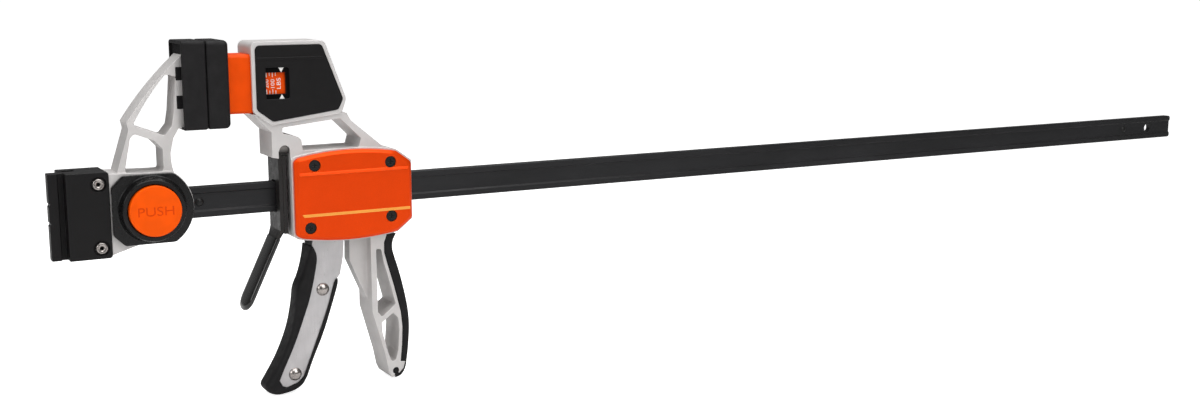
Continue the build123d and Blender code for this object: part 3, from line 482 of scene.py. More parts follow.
class Finishes:
    """Every finish of the clamp; each material is made once, when it is first used."""

    BAR = BlackenedSteel("black_oxide", "black_oxide_steel", (0.012, 0.012, 0.013), 0.36, 0.25, 0.35)
    CAST = Casting("blasted_aluminium", "cast_aluminium", (0.62, 0.60, 0.59), 0.46, 0.3, 0.4)
    BLACK = Moulding("black_moulding", "black_plastic", (0.0065, 0.0060, 0.0063), 0.38, specular=0.2)
    RUBBER = Rubber("black_rubber", "black_rubber", (0.0085, 0.0080, 0.0085), 0.54, specular=0.18)
    GLOSS = Moulding("glossy_moulding", "black_plastic", (0.0042, 0.0040, 0.0042), 0.26, specular=0.3)
    # Painted shade: near-black for the floors of the gauge window's recess and of the rivet dimples, where
    # shade falls.
    SHADOW = Moulding("painted_shade_black", "black_plastic", (0.0012, 0.0012, 0.0012), 0.5, specular=0.05)
    ORANGE = Moulding(
        "orange_moulding", "orange_plastic", (0.90, 0.092, 0.0), 0.36, specular=0.1, edge_sheen=1.15
    )
    # Painted shade: a darker copy of the orange moulding for the plunger, which lies in the shade of the pad
    # and housing, with a stronger painted sheen on its edges.
    PLUNGER = Moulding("orange_painted_shade", "orange_plastic", (0.78, 0.068, 0.0), 0.36, specular=0.1, edge_sheen=1.25)
    # Painted shade: a darker copy of the orange moulding for the letters cut into the button.
    ENGRAVED = Moulding(
        "engraved_orange_painted_shade", "orange_plastic", (0.70, 0.060, 0.0), 0.5, specular=0.1, edge_sheen=1.1
    )
    COVER = Paint("orange_paint", "orange_cover", (0.86, 0.060, 0.0), 0.34, 0.5, 0.12, coat=0.06)
    # The stripe's edges get a paler painted highlight.
    STRIPE = Paint(
        "stripe_paint", "orange_cover", (0.94, 0.36, 0.035), 0.34, specular=0.4, edge=(1.0, 0.45, 0.08)
    )
    SCREW = BlackenedSteel("black_screw", "black_screws", (0.012, 0.012, 0.012), 0.32, 0.5, 0.4, EVEN)
    RIVET = BrightMetal("rivet_plating", "bright_rivets", (0.44, 0.405, 0.385), 0.2, 1.0)
    # The plate's rolled top turns lighter between two heights: bare steel where it pivots, and a painted
    # highlight.
    PLATE = BlackenedSteel(
        "black_plate", "black_steel", (0.016, 0.0145, 0.014), 0.32, 0.3, 0.4,
        lines=(1.0, 1.0, 0.05), cloud=1.1, bare_and_highlight=(37.5, 41.5),
    )
    VINYL = DippedVinyl("dipped_vinyl", "black_vinyl", (0.0018, 0.0016, 0.0015), 0.1)
    BRUSHED = BrushedSteel("brushed_sheet", "brushed_plates", (0.56, 0.545, 0.55), 0.34, 0.75)
    STEEL = BrightMetal("plain_steel", "plain_steel", (0.55, 0.54, 0.53), 0.28, 1.0)
    SPRING = BrightMetal("spring_wire", "spring_steel", (0.36, 0.35, 0.34), 0.3, 1.0)
    INK = Ink("white_ink", "orange_plastic", (0.84, 0.83, 0.81), 0.42)

    made: dict[str, bpy.types.Material] = {}

    @classmethod
    def material(cls, finish: Finish) -> bpy.types.Material:
        """The material of a finish, made the first time that it is asked for.

        Args:
            finish: The finish.

        Returns:
            The material.
        """
        if finish.name not in cls.made:
            cls.made[finish.name] = finish.build()
        return cls.made[finish.name]


# Modelling steps


class Bench:
    """Modelling steps that the pieces share; every length comes in millimetres."""

    @staticmethod
    def clear() -> None:
        """Leave edit mode and deselect everything."""
        if bpy.context.object and bpy.context.object.mode != "OBJECT":
            bpy.ops.object.mode_set(mode="OBJECT")
        bpy.ops.object.select_all(action="DESELECT")

    @staticmethod
    def pick(piece: Piece) -> None:
        """Select one object and make it active.

        Args:
            piece: The object to work on.
        """
        Bench.clear()
        piece.select_set(True)
        bpy.context.view_layer.objects.active = piece

    @staticmethod
    def edit(piece: Piece) -> None:
        """Go to edit mode on one object with all of it selected.

        Args:
            piece: The object to work on.
        """
        Bench.pick(piece)
        bpy.ops.object.mode_set(mode="EDIT")
        bpy.ops.mesh.select_all(action="SELECT")

    @staticmethod
    def tidy(piece: Piece) -> None:
        """Turn all faces of a piece outwards and leave edit mode.

        Args:
            piece: The object to work on.
        """
        Bench.edit(piece)
        bpy.ops.mesh.normals_make_consistent(inside=False)
        bpy.ops.object.mode_set(mode="OBJECT")

    @staticmethod
    def apply_place(piece: Piece) -> Piece:
        """Put an object's place into its mesh and give it back.

        Args:
            piece: The object to work on.

        Returns:
            The object.
        """
        Bench.pick(piece)
        bpy.ops.object.transform_apply(location=True, rotation=True, scale=True)
        return piece

    @staticmethod
    def move(piece: Piece, x: float, y: float, z: float) -> Piece:
        """Shift a piece's mesh and give it back."""
        piece.location = (x * MM, y * MM, z * MM)
        return Bench.apply_place(piece)

    @staticmethod
    def block(low: Place, high: Place) -> Piece:
        """A block between two corners.

        Args:
            low: Its lowest corner.
            high: Its highest corner.

        Returns:
            The new object.
        """
        Bench.clear()
        middle = [(a + b) / 2 * MM for a, b in zip(low, high)]
        size = [(b - a) * MM for a, b in zip(low, high)]
        bpy.ops.mesh.primitive_cube_add(size=1.0, location=middle, scale=size)
        return Bench.apply_place(bpy.context.object)

    @staticmethod
    def disc_across(
        x: float, z: float, radius: float, low_y: float, high_y: float, sides: int = 48
    ) -> Piece:
        """A round disc or rod whose axis runs across the clamp.

        Args:
            x: Place of its axis along the bar.
            z: Height of its axis.
            radius: Its radius.
            low_y: Its front end.
            high_y: Its rear end.
            sides: Number of its facets.

        Returns:
            The new object.
        """
        Bench.clear()
        bpy.ops.mesh.primitive_cylinder_add(
            vertices=sides,
            radius=radius * MM,
            depth=(high_y - low_y) * MM,
            location=(x * MM, (low_y + high_y) / 2 * MM, z * MM),
            rotation=(math.pi / 2, 0.0, 0.0),
        )
        return Bench.apply_place(bpy.context.object)

    @staticmethod
    def extrude(x: float, y: float, z: float) -> None:
        """Extrude what is selected by a step."""
        bpy.ops.mesh.extrude_region_move(TRANSFORM_OT_translate={"value": (x * MM, y * MM, z * MM)})

    @staticmethod
    def trace(points: Sequence[Spot], half: float) -> Piece:
        """Draw a closed side outline point by point and extrude it across the clamp.

        Args:
            points: Its (x, z) corners in order.
            half: Half the width of the result.

        Returns:
            The new object.
        """
        Bench.clear()
        x, z = points[0]
        bpy.ops.mesh.primitive_plane_add(size=MM, location=(x * MM, -half * MM, z * MM))
        piece = Bench.apply_place(bpy.context.object)
        Bench.edit(piece)
        bpy.ops.mesh.select_mode(type="VERT")
        bpy.ops.mesh.merge(type="CENTER")
        for (x, z), (next_x, next_z) in zip(points, points[1:]):
            Bench.extrude(next_x - x, 0.0, next_z - z)
        bpy.ops.mesh.select_all(action="SELECT")
        bpy.ops.mesh.edge_face_add()
        Bench.extrude(0.0, 2 * half, 0.0)
        Bench.tidy(piece)
        return piece

    @staticmethod
    def smooth_line(points: Sequence[Spot], count: int) -> list[Vector]:
        """Round a line's corners and set points on it at even steps.

        Args:
            points: Its corners.
            count: How many points are set on it.

        Returns:
            The points.
        """
        line = [Vector(point) for point in points]
        for _ in range(3):
            rounded = [line[0]]
            for start, end in zip(line, line[1:]):
                rounded += [start.lerp(end, 0.25), start.lerp(end, 0.75)]
            line = [*rounded, line[-1]]
        run = [0.0]
        for start, end in zip(line, line[1:]):
            run.append(run[-1] + (end - start).length)
        even = []
        for step in range(count):
            wanted = run[-1] * step / (count - 1)
            index = min(bisect_right(run, wanted), len(run) - 1) - 1
            share = (wanted - run[index]) / (run[index + 1] - run[index])
            even.append(line[index].lerp(line[index + 1], share))
        return even

    @staticmethod
    def skin(rings: Sequence[Sequence[Place]]) -> Piece:
        """Lay a closed skin over a row of closed rings, with both ends filled.

        Args:
            rings: The rings, with as many points each.

        Returns:
            The new object.
        """
        Bench.clear()
        around = len(rings[0])
        bpy.ops.mesh.primitive_grid_add(x_subdivisions=around, y_subdivisions=len(rings) - 1, size=1.0)
        piece = bpy.context.object
        wanted = [spot for ring in rings for spot in (*ring, ring[0])]
        for vert, spot in zip(piece.data.vertices, wanted, strict=True):
            vert.co = Vector(spot) * MM
        Bench.edit(piece)
        bpy.ops.mesh.remove_doubles(threshold=1e-6)
        bpy.ops.mesh.fill_holes(sides=0)
        Bench.tidy(piece)
        return piece

    @staticmethod
    def band(parts: Sequence["Band"], pivot_x: float) -> Piece:
        """Model a rubber band that stands on edge across the clamp.

        Args:
            parts: Its parts in a row.
            pivot_x: Place along the bar that their points are measured from.

        Returns:
            The new object.
        """
        rings = []
        for part in parts:
            lines = Bench.smooth_line(part.outer, part.count), Bench.smooth_line(part.inner, part.count)
            for index, (outer, inner) in enumerate(zip(*lines)):
                rings.append(part.ring(outer, inner, index / (part.count - 1), pivot_x))
        return Bench.skin(rings)

    @staticmethod
    def pick_parts(piece: Piece, kind: str, test: Callable[..., bool]) -> None:
        """Select parts of a mesh.

        Args:
            piece: The object to work on, left in edit mode.
            kind: VERT, EDGE or FACE.
            test: Says whether one of them is picked.
        """
        Bench.edit(piece)
        bpy.ops.mesh.select_mode(type=kind)
        bpy.ops.mesh.select_all(action="DESELECT")
        mesh = bmesh.from_edit_mesh(piece.data)
        for part in {"VERT": mesh.verts, "EDGE": mesh.edges, "FACE": mesh.faces}[kind]:
            part.select_set(test(part))
        bmesh.update_edit_mesh(piece.data)

    @staticmethod
    def pick_faces(piece: Piece, test: Callable[[Vector, Vector], bool]) -> None:
        """Select the faces that a test picks by their middle in millimetres and their normal."""
        Bench.pick_parts(piece, "FACE", lambda face: test(face.calc_center_median() / MM, face.normal))

    @staticmethod
    def sink(piece: Piece, rim: float, step: Place, test: Callable[[Vector, Vector], bool]) -> None:
        """Push the middle of the faces that a test picks in or out.

        Args:
            piece: The object to work on, left in edit mode.
            rim: Width of the rim that stays.
            step: How far the rest moves.
            test: Says whether a face is picked, from its middle and its normal.
        """
        Bench.pick_faces(piece, test)
        bpy.ops.mesh.inset(thickness=rim * MM)
        Bench.extrude(*step)

    @staticmethod
    def shift(piece: Piece, step: Place, test: Callable[[Vector], bool]) -> None:
        """Move the corners that a test picks by their places in millimetres.

        Args:
            piece: The object to work on.
            step: How far they move.
            test: Says whether a corner moves.
        """
        Bench.pick_parts(piece, "VERT", lambda vert: test(vert.co / MM))
        bpy.ops.transform.translate(value=[part * MM for part in step])
        bpy.ops.object.mode_set(mode="OBJECT")

    @staticmethod
    def bevel_edges(
        piece: Piece, width: float, segments: int, test: EdgeTest, sharp: float = 0.0, clamp: bool = True
    ) -> None:
        """Round the edges that a test picks by the places of their two ends, in millimetres.

        Args:
            piece: The object to work on.
            width: Width of the rounding.
            segments: Number of its facets.
            test: Says whether an edge is rounded.
            sharp: Least angle in degrees between the two faces of a rounded edge.
            clamp: Whether the rounding stops before its neighbours.
        """

        def picked(edge: bmesh.types.BMEdge) -> bool:
            """Whether an edge is wanted and sharp enough."""
            wanted = test(*(vert.co / MM for vert in edge.verts))
            return wanted and edge.calc_face_angle(0.0) >= math.radians(sharp)

        Bench.pick_parts(piece, "EDGE", picked)
        bpy.ops.mesh.bevel(offset=width * MM, segments=segments, profile=0.5, clamp_overlap=clamp)
        bpy.ops.object.mode_set(mode="OBJECT")

    @staticmethod
    def modify(piece: Piece, kind: str, **values: object) -> None:
        """Add a modifier, set it and apply it.

        Args:
            piece: The object to work on.
            kind: The modifier's type.
            values: Its settings.
        """
        Bench.pick(piece)
        bpy.ops.object.modifier_add(type=kind)
        modifier = piece.modifiers[-1]
        for name, value in values.items():
            setattr(modifier, name, value)
        bpy.ops.object.modifier_apply(modifier=modifier.name)

    @staticmethod
    def round_off(piece: Piece, width: float, segments: int = 3, proud: float = 0.6) -> None:
        """Round every sharp edge.

        Args:
            piece: The object to work on.
            width: Width of the rounding.
            segments: Number of its facets.
            proud: How far a point may stand out of the plain shape, as a share of the width.
        """
        plain = bmesh.new()
        plain.from_mesh(piece.data)
        skin = BVHTree.FromBMesh(plain)
        plain.free()
        Bench.modify(
            piece,
            "BEVEL",
            width=width * MM,
            segments=segments,
            limit_method="ANGLE",
            angle_limit=math.radians(32.0),
            use_clamp_overlap=False,
            miter_outer="MITER_ARC",
        )
        Bench.mend_flats(piece)
        for vert in piece.data.vertices:
            nearest, normal, _, distance = skin.find_nearest(vert.co)
            outside = (vert.co - nearest).dot(normal) > 0.0
            if distance > (proud if outside else 0.6) * width * MM:
                vert.co = nearest

    @staticmethod
    def mend_flats(piece: Piece) -> None:
        """Fill again each flat face whose outline crosses itself where a rounding met a tight corner.

        Args:
            piece: The object to work on.
        """
        mesh = bmesh.new()
        mesh.from_mesh(piece.data)
        covered = dict.fromkeys(mesh.faces, 0.0)
        for corners in mesh.calc_loop_triangles():
            first, second, third = (loop.vert.co for loop in corners)
            covered[corners[0].face] += (second - first).cross(third - first).length / 2
        excess = 0.01 * MM * MM
        for face in [face for face, area in covered.items() if area > face.calc_area() + excess]:
            if len(face.verts) > 4:
                Bench.fill_again(mesh, face)
        mesh.to_mesh(piece.data)
        mesh.free()

    @staticmethod
    def fill_again(mesh: bmesh.types.BMesh, face: bmesh.types.BMFace) -> None:
        """Replace one flat face by triangles that cover the inside of its outline once.

        Args:
            mesh: The mesh.
            face: The face.
        """
        corners = list(face.verts)
        across = face.normal.orthogonal().normalized()
        up = face.normal.cross(across)
        level = face.normal * face.normal.dot(face.calc_center_median())
        flat = [Vector((vert.co.dot(across), vert.co.dot(up))) / MM for vert in corners]
        spots, _, triangles, sources, _, _ = delaunay_2d_cdt(flat, [], [list(range(len(flat)))], 1, 1e-5)
        ends = []
        for spot, source in zip(spots, sources):
            if source:
                ends.append(corners[source[0]])
            else:
                ends.append(mesh.verts.new((across * spot.x + up * spot.y) * MM + level))
        for triangle in triangles:
            middle = sum((spots[index] for index in triangle), Vector((0.0, 0.0))) / 3
            wanted = [ends[index] for index in triangle]
            if Bench.turns_round(flat, middle) > 0 and len(set(wanted)) == 3 and not mesh.faces.get(wanted):
                mesh.faces.new(wanted).material_index = face.material_index
        mesh.faces.remove(face)

    @staticmethod
    def turns_round(outline: Sequence[Vector], spot: Vector) -> int:
        """How many times an outline runs round a spot, counted the way the outline faces.

        Args:
            outline: Its corners in order.
            spot: The spot.

        Returns:
            The number of turns.
        """
        turns = 0
        for start, end in zip(outline, [*outline[1:], outline[0]]):
            if (start.y > spot.y) != (end.y > spot.y):
                crossing = start.x + (spot.y - start.y) / (end.y - start.y) * (end.x - start.x)
                if crossing > spot.x:
                    turns += 1 if end.y > start.y else -1
        return turns

    @staticmethod
    def join(pieces: Sequence[Piece]) -> Piece:
        """Join pieces into the first of them and give it back.

        Args:
            pieces: The pieces.

        Returns:
            The first piece.
        """
        Bench.pick(pieces[0])
        for piece in pieces[1:]:
            piece.select_set(True)
        bpy.ops.object.join()
        return pieces[0]

    @staticmethod
    def cut(piece: Piece, tool: Piece) -> None:
        """Cut one object out of another and remove the tool.

        Args:
            piece: The object to work on.
            tool: The object that is cut out.
        """
        how = {"operation": "DIFFERENCE", "solver": "EXACT", "material_mode": "TRANSFER"}
        Bench.modify(piece, "BOOLEAN", object=tool, **how)
        Bench.pick(tool)
        bpy.ops.object.delete()

    @staticmethod
    def copy_node(node: str) -> Piece:
        """A welded copy of one of the clamp's plain solids, with its flat faces made whole.

        Args:
            node: Name of the solid.

        Returns:
            The new object.
        """
        Bench.clear()
        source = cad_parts[node]
        piece = bpy.data.objects.new(node + "_copy", source.data.copy())
        bpy.context.scene.collection.objects.link(piece)
        piece.data.materials.clear()
        Bench.edit(piece)
        bpy.ops.mesh.customdata_custom_splitnormals_clear()
        Bench.weld(piece, 2e-6, 0.4)
        return piece

    @staticmethod
    def weld(piece: Piece, threshold: float, angle: float) -> None:
        """Merge a mesh's doubles and its level faces, and turn all of them outwards.

        Args:
            piece: The object to work on.
            threshold: How near doubles lie, in metres.
            angle: How level faces lie, in degrees.
        """
        Bench.edit(piece)
        bpy.ops.mesh.remove_doubles(threshold=threshold)
        bpy.ops.mesh.dissolve_limited(angle_limit=math.radians(angle))
        Bench.tidy(piece)

    @staticmethod
    def letters(text: str, width: float, height: float, depth: float) -> Piece:
        """Raised words centred on the origin, reading along X with their top towards Z, facing the front.

        Args:
            text: The words.
            width: Their length.
            height: Height of their capitals.
            depth: Their thickness along Y.

        Returns:
            The new object, a mesh.
        """
        Bench.clear()
        bpy.ops.object.text_add(location=(0.0, 0.0, 0.0))
        words = bpy.context.object
        words.data.body = text
        words.data.extrude = 0.5
        bpy.ops.object.convert(target="MESH")
        bpy.ops.object.origin_set(type="ORIGIN_GEOMETRY", center="BOUNDS")
        words.location = (0.0, 0.0, 0.0)
        size = words.dimensions
        words.scale = (width * MM / size.x, height * MM / size.y, depth * MM / size.z)
        words.rotation_euler = (math.pi / 2, 0.0, 0.0)
        Bench.apply_place(words)
        Bench.weld(words, 1e-7, 1.0)
        return words

    @staticmethod
    def paint(piece: Piece, *finishes: Finish) -> None:
        """Give a mesh the materials of one or more finishes.

        Args:
            piece: The object to work on.
            finishes: The finishes, in the order of their slots.
        """
        piece.data.materials.clear()
        for finish in finishes:
            piece.data.materials.append(Finishes.material(finish))

    @staticmethod
    def use_second(piece: Piece) -> None:
        """Give the faces picked in edit mode the second material."""
        piece.active_material_index = 1
        bpy.ops.object.material_slot_assign()

    @staticmethod
    def finish(
        piece: Piece,
        name: str,
        body: Body,
        finish: Finish,
        replaces: Iterable[str] = (),
        smooth: float = 35.0,
        flat: bool = True,
    ) -> Piece:
        """Name a piece, dress it and tie it to its body.

        Args:
            piece: The object, whose place is already in its mesh.
            name: Its name.
            body: The body that it moves with.
            finish: Its finish, unless it already has materials.
            replaces: The plain solids that it stands for.
            smooth: Angle in degrees up to which faces shade as one.
            flat: Whether large faces shade flat up to their rounded edges.

        Returns:
            The piece.
        """
        Bench.pick(piece)
        bpy.ops.object.shade_smooth_by_angle(angle=math.radians(smooth))
        if flat:
            Bench.modify(piece, "WEIGHTED_NORMAL", keep_sharp=True, weight=60)
        piece.name = piece.data.name = name
        if not any(piece.data.materials):
            Bench.paint(piece, finish)
        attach(piece, body.value)
        if replaces:
            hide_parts(*replaces)
        log.info("%s: %d faces, moves with %s", name, len(piece.data.polygons), body.value)
        return piece

    @staticmethod
    def soften(node: str, name: str, body: Body, finish: Finish, width: float) -> None:
        """Replace one of the clamp's solids by a rounded version.

        Args:
            node: Name of the solid.
            name: Name of the new piece.
            body: The body that it moves with.
            finish: Its finish.
            width: Width of its rounded edges.
        """
        piece = Bench.copy_node(node)
        Bench.round_off(piece, width)
        Bench.finish(piece, name, body, finish, (node,))

    @staticmethod
    def dress(nodes: Iterable[str], finish: Finish) -> None:
        """Give plain solids that stay in view their finish.

        Args:
            nodes: Names of the solids.
            finish: Their finish.
        """
        for node in nodes:
            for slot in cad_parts[node].material_slots:
                slot.link = "OBJECT"
                slot.material = Finishes.material(finish)
            log.info("%s: dressed in %s", node, finish.name)


@dataclass(frozen=True)
class Band:
    """Part of a rubber band between an outer and an inner line, rounded towards the outer one."""

    outer: tuple[Spot, ...]
    inner: tuple[Spot, ...]
    count: int
    half: Spot
    rounding: Spot
    edge: float = 0.5
    facets: int = 6

    def ring(self, outer: Vector, inner: Vector, share: float, pivot_x: float) -> list[Place]:
        """One cross-section of the band.

        Args:
            outer: Its spot on the outer line.
            inner: Its spot on the inner line.
            share: How far along the part it lies, from 0 to 1.
            pivot_x: Place along the bar that the lines are measured from.

        Returns:
            The points round it.
        """
        thick = (inner - outer).length
        way = (inner - outer) / thick
        half = self.half[0] + (self.half[1] - self.half[0]) * share
        rounding = min(0.8 * thick, self.rounding[0] + (self.rounding[1] - self.rounding[0]) * share)
        edge = min(0.2 * thick, self.edge)
        turns = [math.pi / 2 * step / self.facets for step in range(self.facets + 1)]
        bow = [(1.0 - math.cos(turn), 1.0 - math.sin(turn)) for turn in turns]
        side = [(rounding * slow, half - rounding * fast) for slow, fast in bow]
        side += [(thick - edge * fast, half - edge * slow) for slow, fast in bow]
        around = side + [(deep, -y) for deep, y in reversed(side)]
        return [(pivot_x + outer.x + way.x * deep, y, outer.y + way.y * deep) for deep, y in around]


@dataclass(frozen=True)
class Spring:
    """A coil spring whose high end stays, while a joint pushes its low end towards it."""

    node: str
    body: Body
    joint: str
    axis: int
    travel: float

    def build(self) -> None:
        """Copy the coil, dress it as spring wire and tie it to its body."""
        low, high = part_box(self.node)
        anchor = (low + high) / 2
        anchor[self.axis] = high[self.axis]
        along = Vector((0.0, 0.0, 0.0))
        along[self.axis] = 1.0
        coil = Bench.copy_node(self.node)
        name = self.node + "_coil"
        Bench.finish(coil, name, self.body, Finishes.SPRING, [self.node], smooth=60.0, flat=False)
        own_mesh(coil)


# Sub-assemblies


@dataclass
class BarAssembly:
    """The grooved bar and its two stop pins."""

    def build(self) -> None:
        """Dress the bar and its pins."""
        Bench.dress(["bar"], Finishes.BAR)
        Bench.dress(["near_stop_pin", "far_stop_pin"], Finishes.SCREW)


@dataclass
class JawPad:
    """A rubber pad: a block with rounded edges and a ribbed recess in its back."""

    back: float
    face: float
    corner: float
    back_rim: float
    half_width: float = 21.0
    low: float = 60.0
    high: float = 130.5
    face_rim: float = 1.9
    wall: float = 2.6
    least_wall: float = 0.4
    recess: float = 3.0
    rib_half: float = 0.6
    rib_depth: float = 1.9
    rib_root: float = 0.5
    rib_places: tuple[float, ...] = tuple(2.6 * place for place in range(-6, 7))
    rib_low: float = 108.0
    rib_high: float = 128.5

    def block(self) -> Piece:
        """Model the pad.

        Returns:
            The pad, with a ribbed recess in its back.
        """
        low_x, high_x = sorted((self.back, self.face))
        pad = Bench.block((low_x, -self.half_width, self.low), (high_x, self.half_width, self.high))
        Bench.bevel_edges(pad, self.corner, 6, lambda a, b: abs(a.x - b.x) > 1.0, clamp=False)
        for rim, x in ((self.face_rim, self.face), (self.back_rim, self.back)):
            Bench.bevel_edges(pad, rim, 5, lambda a, b: max(abs(a.x - x), abs(b.x - x)) < 0.01, clamp=False)
        outward = 1.0 if self.back > self.face else -1.0
        wall = max(self.least_wall, self.wall - self.back_rim)
        step = (-outward * self.recess, 0.0, 0.0)
        Bench.sink(pad, wall, step, lambda middle, normal: normal.x * outward > 0.999)
        Bench.tidy(pad)
        depths = (self.rib_depth, self.recess + self.rib_root)
        near, far = sorted(self.back - outward * deep for deep in depths)
        ribs = [
            Bench.block((near, y - self.rib_half, self.rib_low), (far, y + self.rib_half, self.rib_high))
            for y in self.rib_places
        ]
        return Bench.join([pad, *ribs])


@dataclass
class FixedJaw:
    """Cast fixed jaw with its pad, coupler block, collar and lock button."""

    lock_x: float = -47.0
    pad: JawPad = field(default_factory=lambda: JawPad(-19.15, -0.15, 3.0, 1.2))
    clip_rows: tuple[float, ...] = (77.0, 99.5)
    clip_height: float = 10.5
    clip_reach: float = 3.4
    clip_root: float = 1.0
    clip_panel: float = 0.9
    clip_sink: float = 0.4
    clip_sides: Spot = (9.9, 12.9)
    pocket_end: float = -25.05
    pocket_rows: Spot = (76.0, 111.0)
    collar_corner: float = 4.0
    button_face: float = -33.0
    button_travel: float = 8.0
    word_size: Spot = (27.6, 7.2)
    word_depth: float = 0.35
    rivet_x: float = -86.0
    rivet_rows: tuple[float, ...] = (22.0, -28.0)
    rivet_shank: float = 3.0
    rivet_radius: float = 4.5
    rivet_base: float = 15.4
    rivet_height: float = 2.6
    rivet_ring: float = 2.75
    rivet_dimple: float = 1.5

    def build(self) -> None:
        """Build every piece of the fixed jaw."""
        self.build_casting()
        Bench.soften("connector_block", "coupler_body", Body.BAR, Finishes.BLACK, width=0.7)
        self.build_collar()
        Bench.soften("button_back_cover", "lock_housing_cover", Body.BAR, Finishes.BLACK, width=0.9)
        self.build_pad()
        self.build_rivets()
        self.build_button()
        Bench.dress(["lock_stems", "lock_yoke", "lock_pin", "yoke_screws"], Finishes.STEEL)
        Spring("button_spring", Body.BAR, "button_press", Y_AXIS, self.button_travel).build()

    def build_casting(self) -> None:
        """Copy the casting, with pockets only as long as the clips."""
        casting = Bench.copy_node("fixed_jaw_frame")
        pocket_end, inner = self.pocket_end, self.clip_sides[0] - 0.5
        low, high = self.pocket_rows
        Bench.shift(
            casting,
            (self.pad.back - self.clip_reach - pocket_end, 0.0, 0.0),
            lambda spot: abs(spot.x - pocket_end) < 0.4 and abs(spot.y) > inner and low < spot.z < high,
        )
        Bench.finish(casting, "fixed_jaw_casting", Body.BAR, Finishes.CAST, ["fixed_jaw_frame"])

    def build_collar(self) -> None:
        """Round the collar's four corners and all its edges."""
        collar = Bench.copy_node("button_collar")
        Bench.bevel_edges(
            collar, self.collar_corner, 5, lambda a, b: abs(a.y - b.y) > 2.0 and a.x == b.x, sharp=25.0
        )
        Bench.round_off(collar, width=0.8, proud=0.3)
        Bench.finish(collar, "button_ring", Body.BAR, Finishes.GLOSS, ["button_collar"])

    def build_pad(self) -> None:
        """Model the pad and the four clips that hold it on the casting."""
        pieces = [self.pad.block()]
        pieces += [self.clip(low, side) for low in self.clip_rows for side in Side]
        Bench.finish(Bench.join(pieces), "fixed_rubber_pad", Body.BAR, Finishes.RUBBER, ["fixed_jaw_pad"])

    def clip(self, low: float, side: Side) -> Piece:
        """Model a clip with a sunk panel on its outer face.

        Args:
            low: Height of its lower end.
            side: The side of the clamp that it is on.

        Returns:
            The clip.
        """
        near, far = side.span(*self.clip_sides)
        root = self.pad.back + self.pad.recess + self.clip_root
        clip = Bench.block((self.pad.back - self.clip_reach, near, low), (root, far, low + self.clip_height))
        Bench.round_off(clip, width=0.5, segments=2)
        step = (0.0, -side.value * self.clip_sink, 0.0)
        Bench.sink(clip, self.clip_panel, step, lambda middle, normal: normal.y * side.value > 0.99)
        Bench.tidy(clip)
        return clip

    def build_rivets(self) -> None:
        """Model both rivets, with a dimpled head on each side."""
        heads = []
        ends = Side.REAR.span(-self.rivet_base, self.rivet_base)
        for z in self.rivet_rows:
            heads += [self.rivet_head(z, side) for side in Side]
            heads.append(Bench.disc_across(self.rivet_x, z, self.rivet_shank, *ends, 24))
        Bench.finish(Bench.join(heads), "coupler_rivets", Body.BAR, Finishes.RIVET, ["connector_rivets"])

    def rivet_head(self, z: float, side: Side) -> Piece:
        """Model a rivet head with a rounded rim and a dimple.

        Args:
            z: Height of the rivet.
            side: The side that it faces.

        Returns:
            The head.
        """
        ends = side.span(self.rivet_base, self.rivet_base + self.rivet_height)
        head = Bench.disc_across(self.rivet_x, z, self.rivet_radius, *ends)
        # The dimple's floor gets the near-black of painted shade.
        Bench.paint(head, Finishes.RIVET, Finishes.SHADOW)
        step = (0.0, -side.value * self.rivet_dimple, 0.0)
        Bench.sink(head, self.rivet_ring, step, lambda middle, normal: normal.y * side.value > 0.9)
        bpy.ops.transform.resize(value=(0.7, 1.0, 0.7))
        Bench.use_second(head)
        Bench.tidy(head)
        Bench.bevel_edges(head, self.rivet_ring / 2 - 0.03, 6, self.on_crown, clamp=False)
        return head

    def on_crown(self, start: Vector, end: Vector) -> bool:
        """Whether an edge lies on the outermost plane of a rivet head."""
        crown = self.rivet_base + self.rivet_height
        return all(abs(abs(spot.y) - crown) < 0.01 for spot in (start, end))

    def build_button(self) -> None:
        """Cut the word into the button's face."""
        button = Bench.copy_node("push_button")
        Bench.paint(button, Finishes.ORANGE)
        word = Bench.letters("PUSH", *self.word_size, 2 * self.word_depth)
        Bench.move(word, self.lock_x, self.button_face, 0.0)
        # The cut letters take the darker orange of painted shade.
        Bench.paint(word, Finishes.ENGRAVED)
        Bench.cut(button, word)
        Bench.finish(button, "lock_push_button", Body.BUTTON, Finishes.ORANGE, ["push_button"])


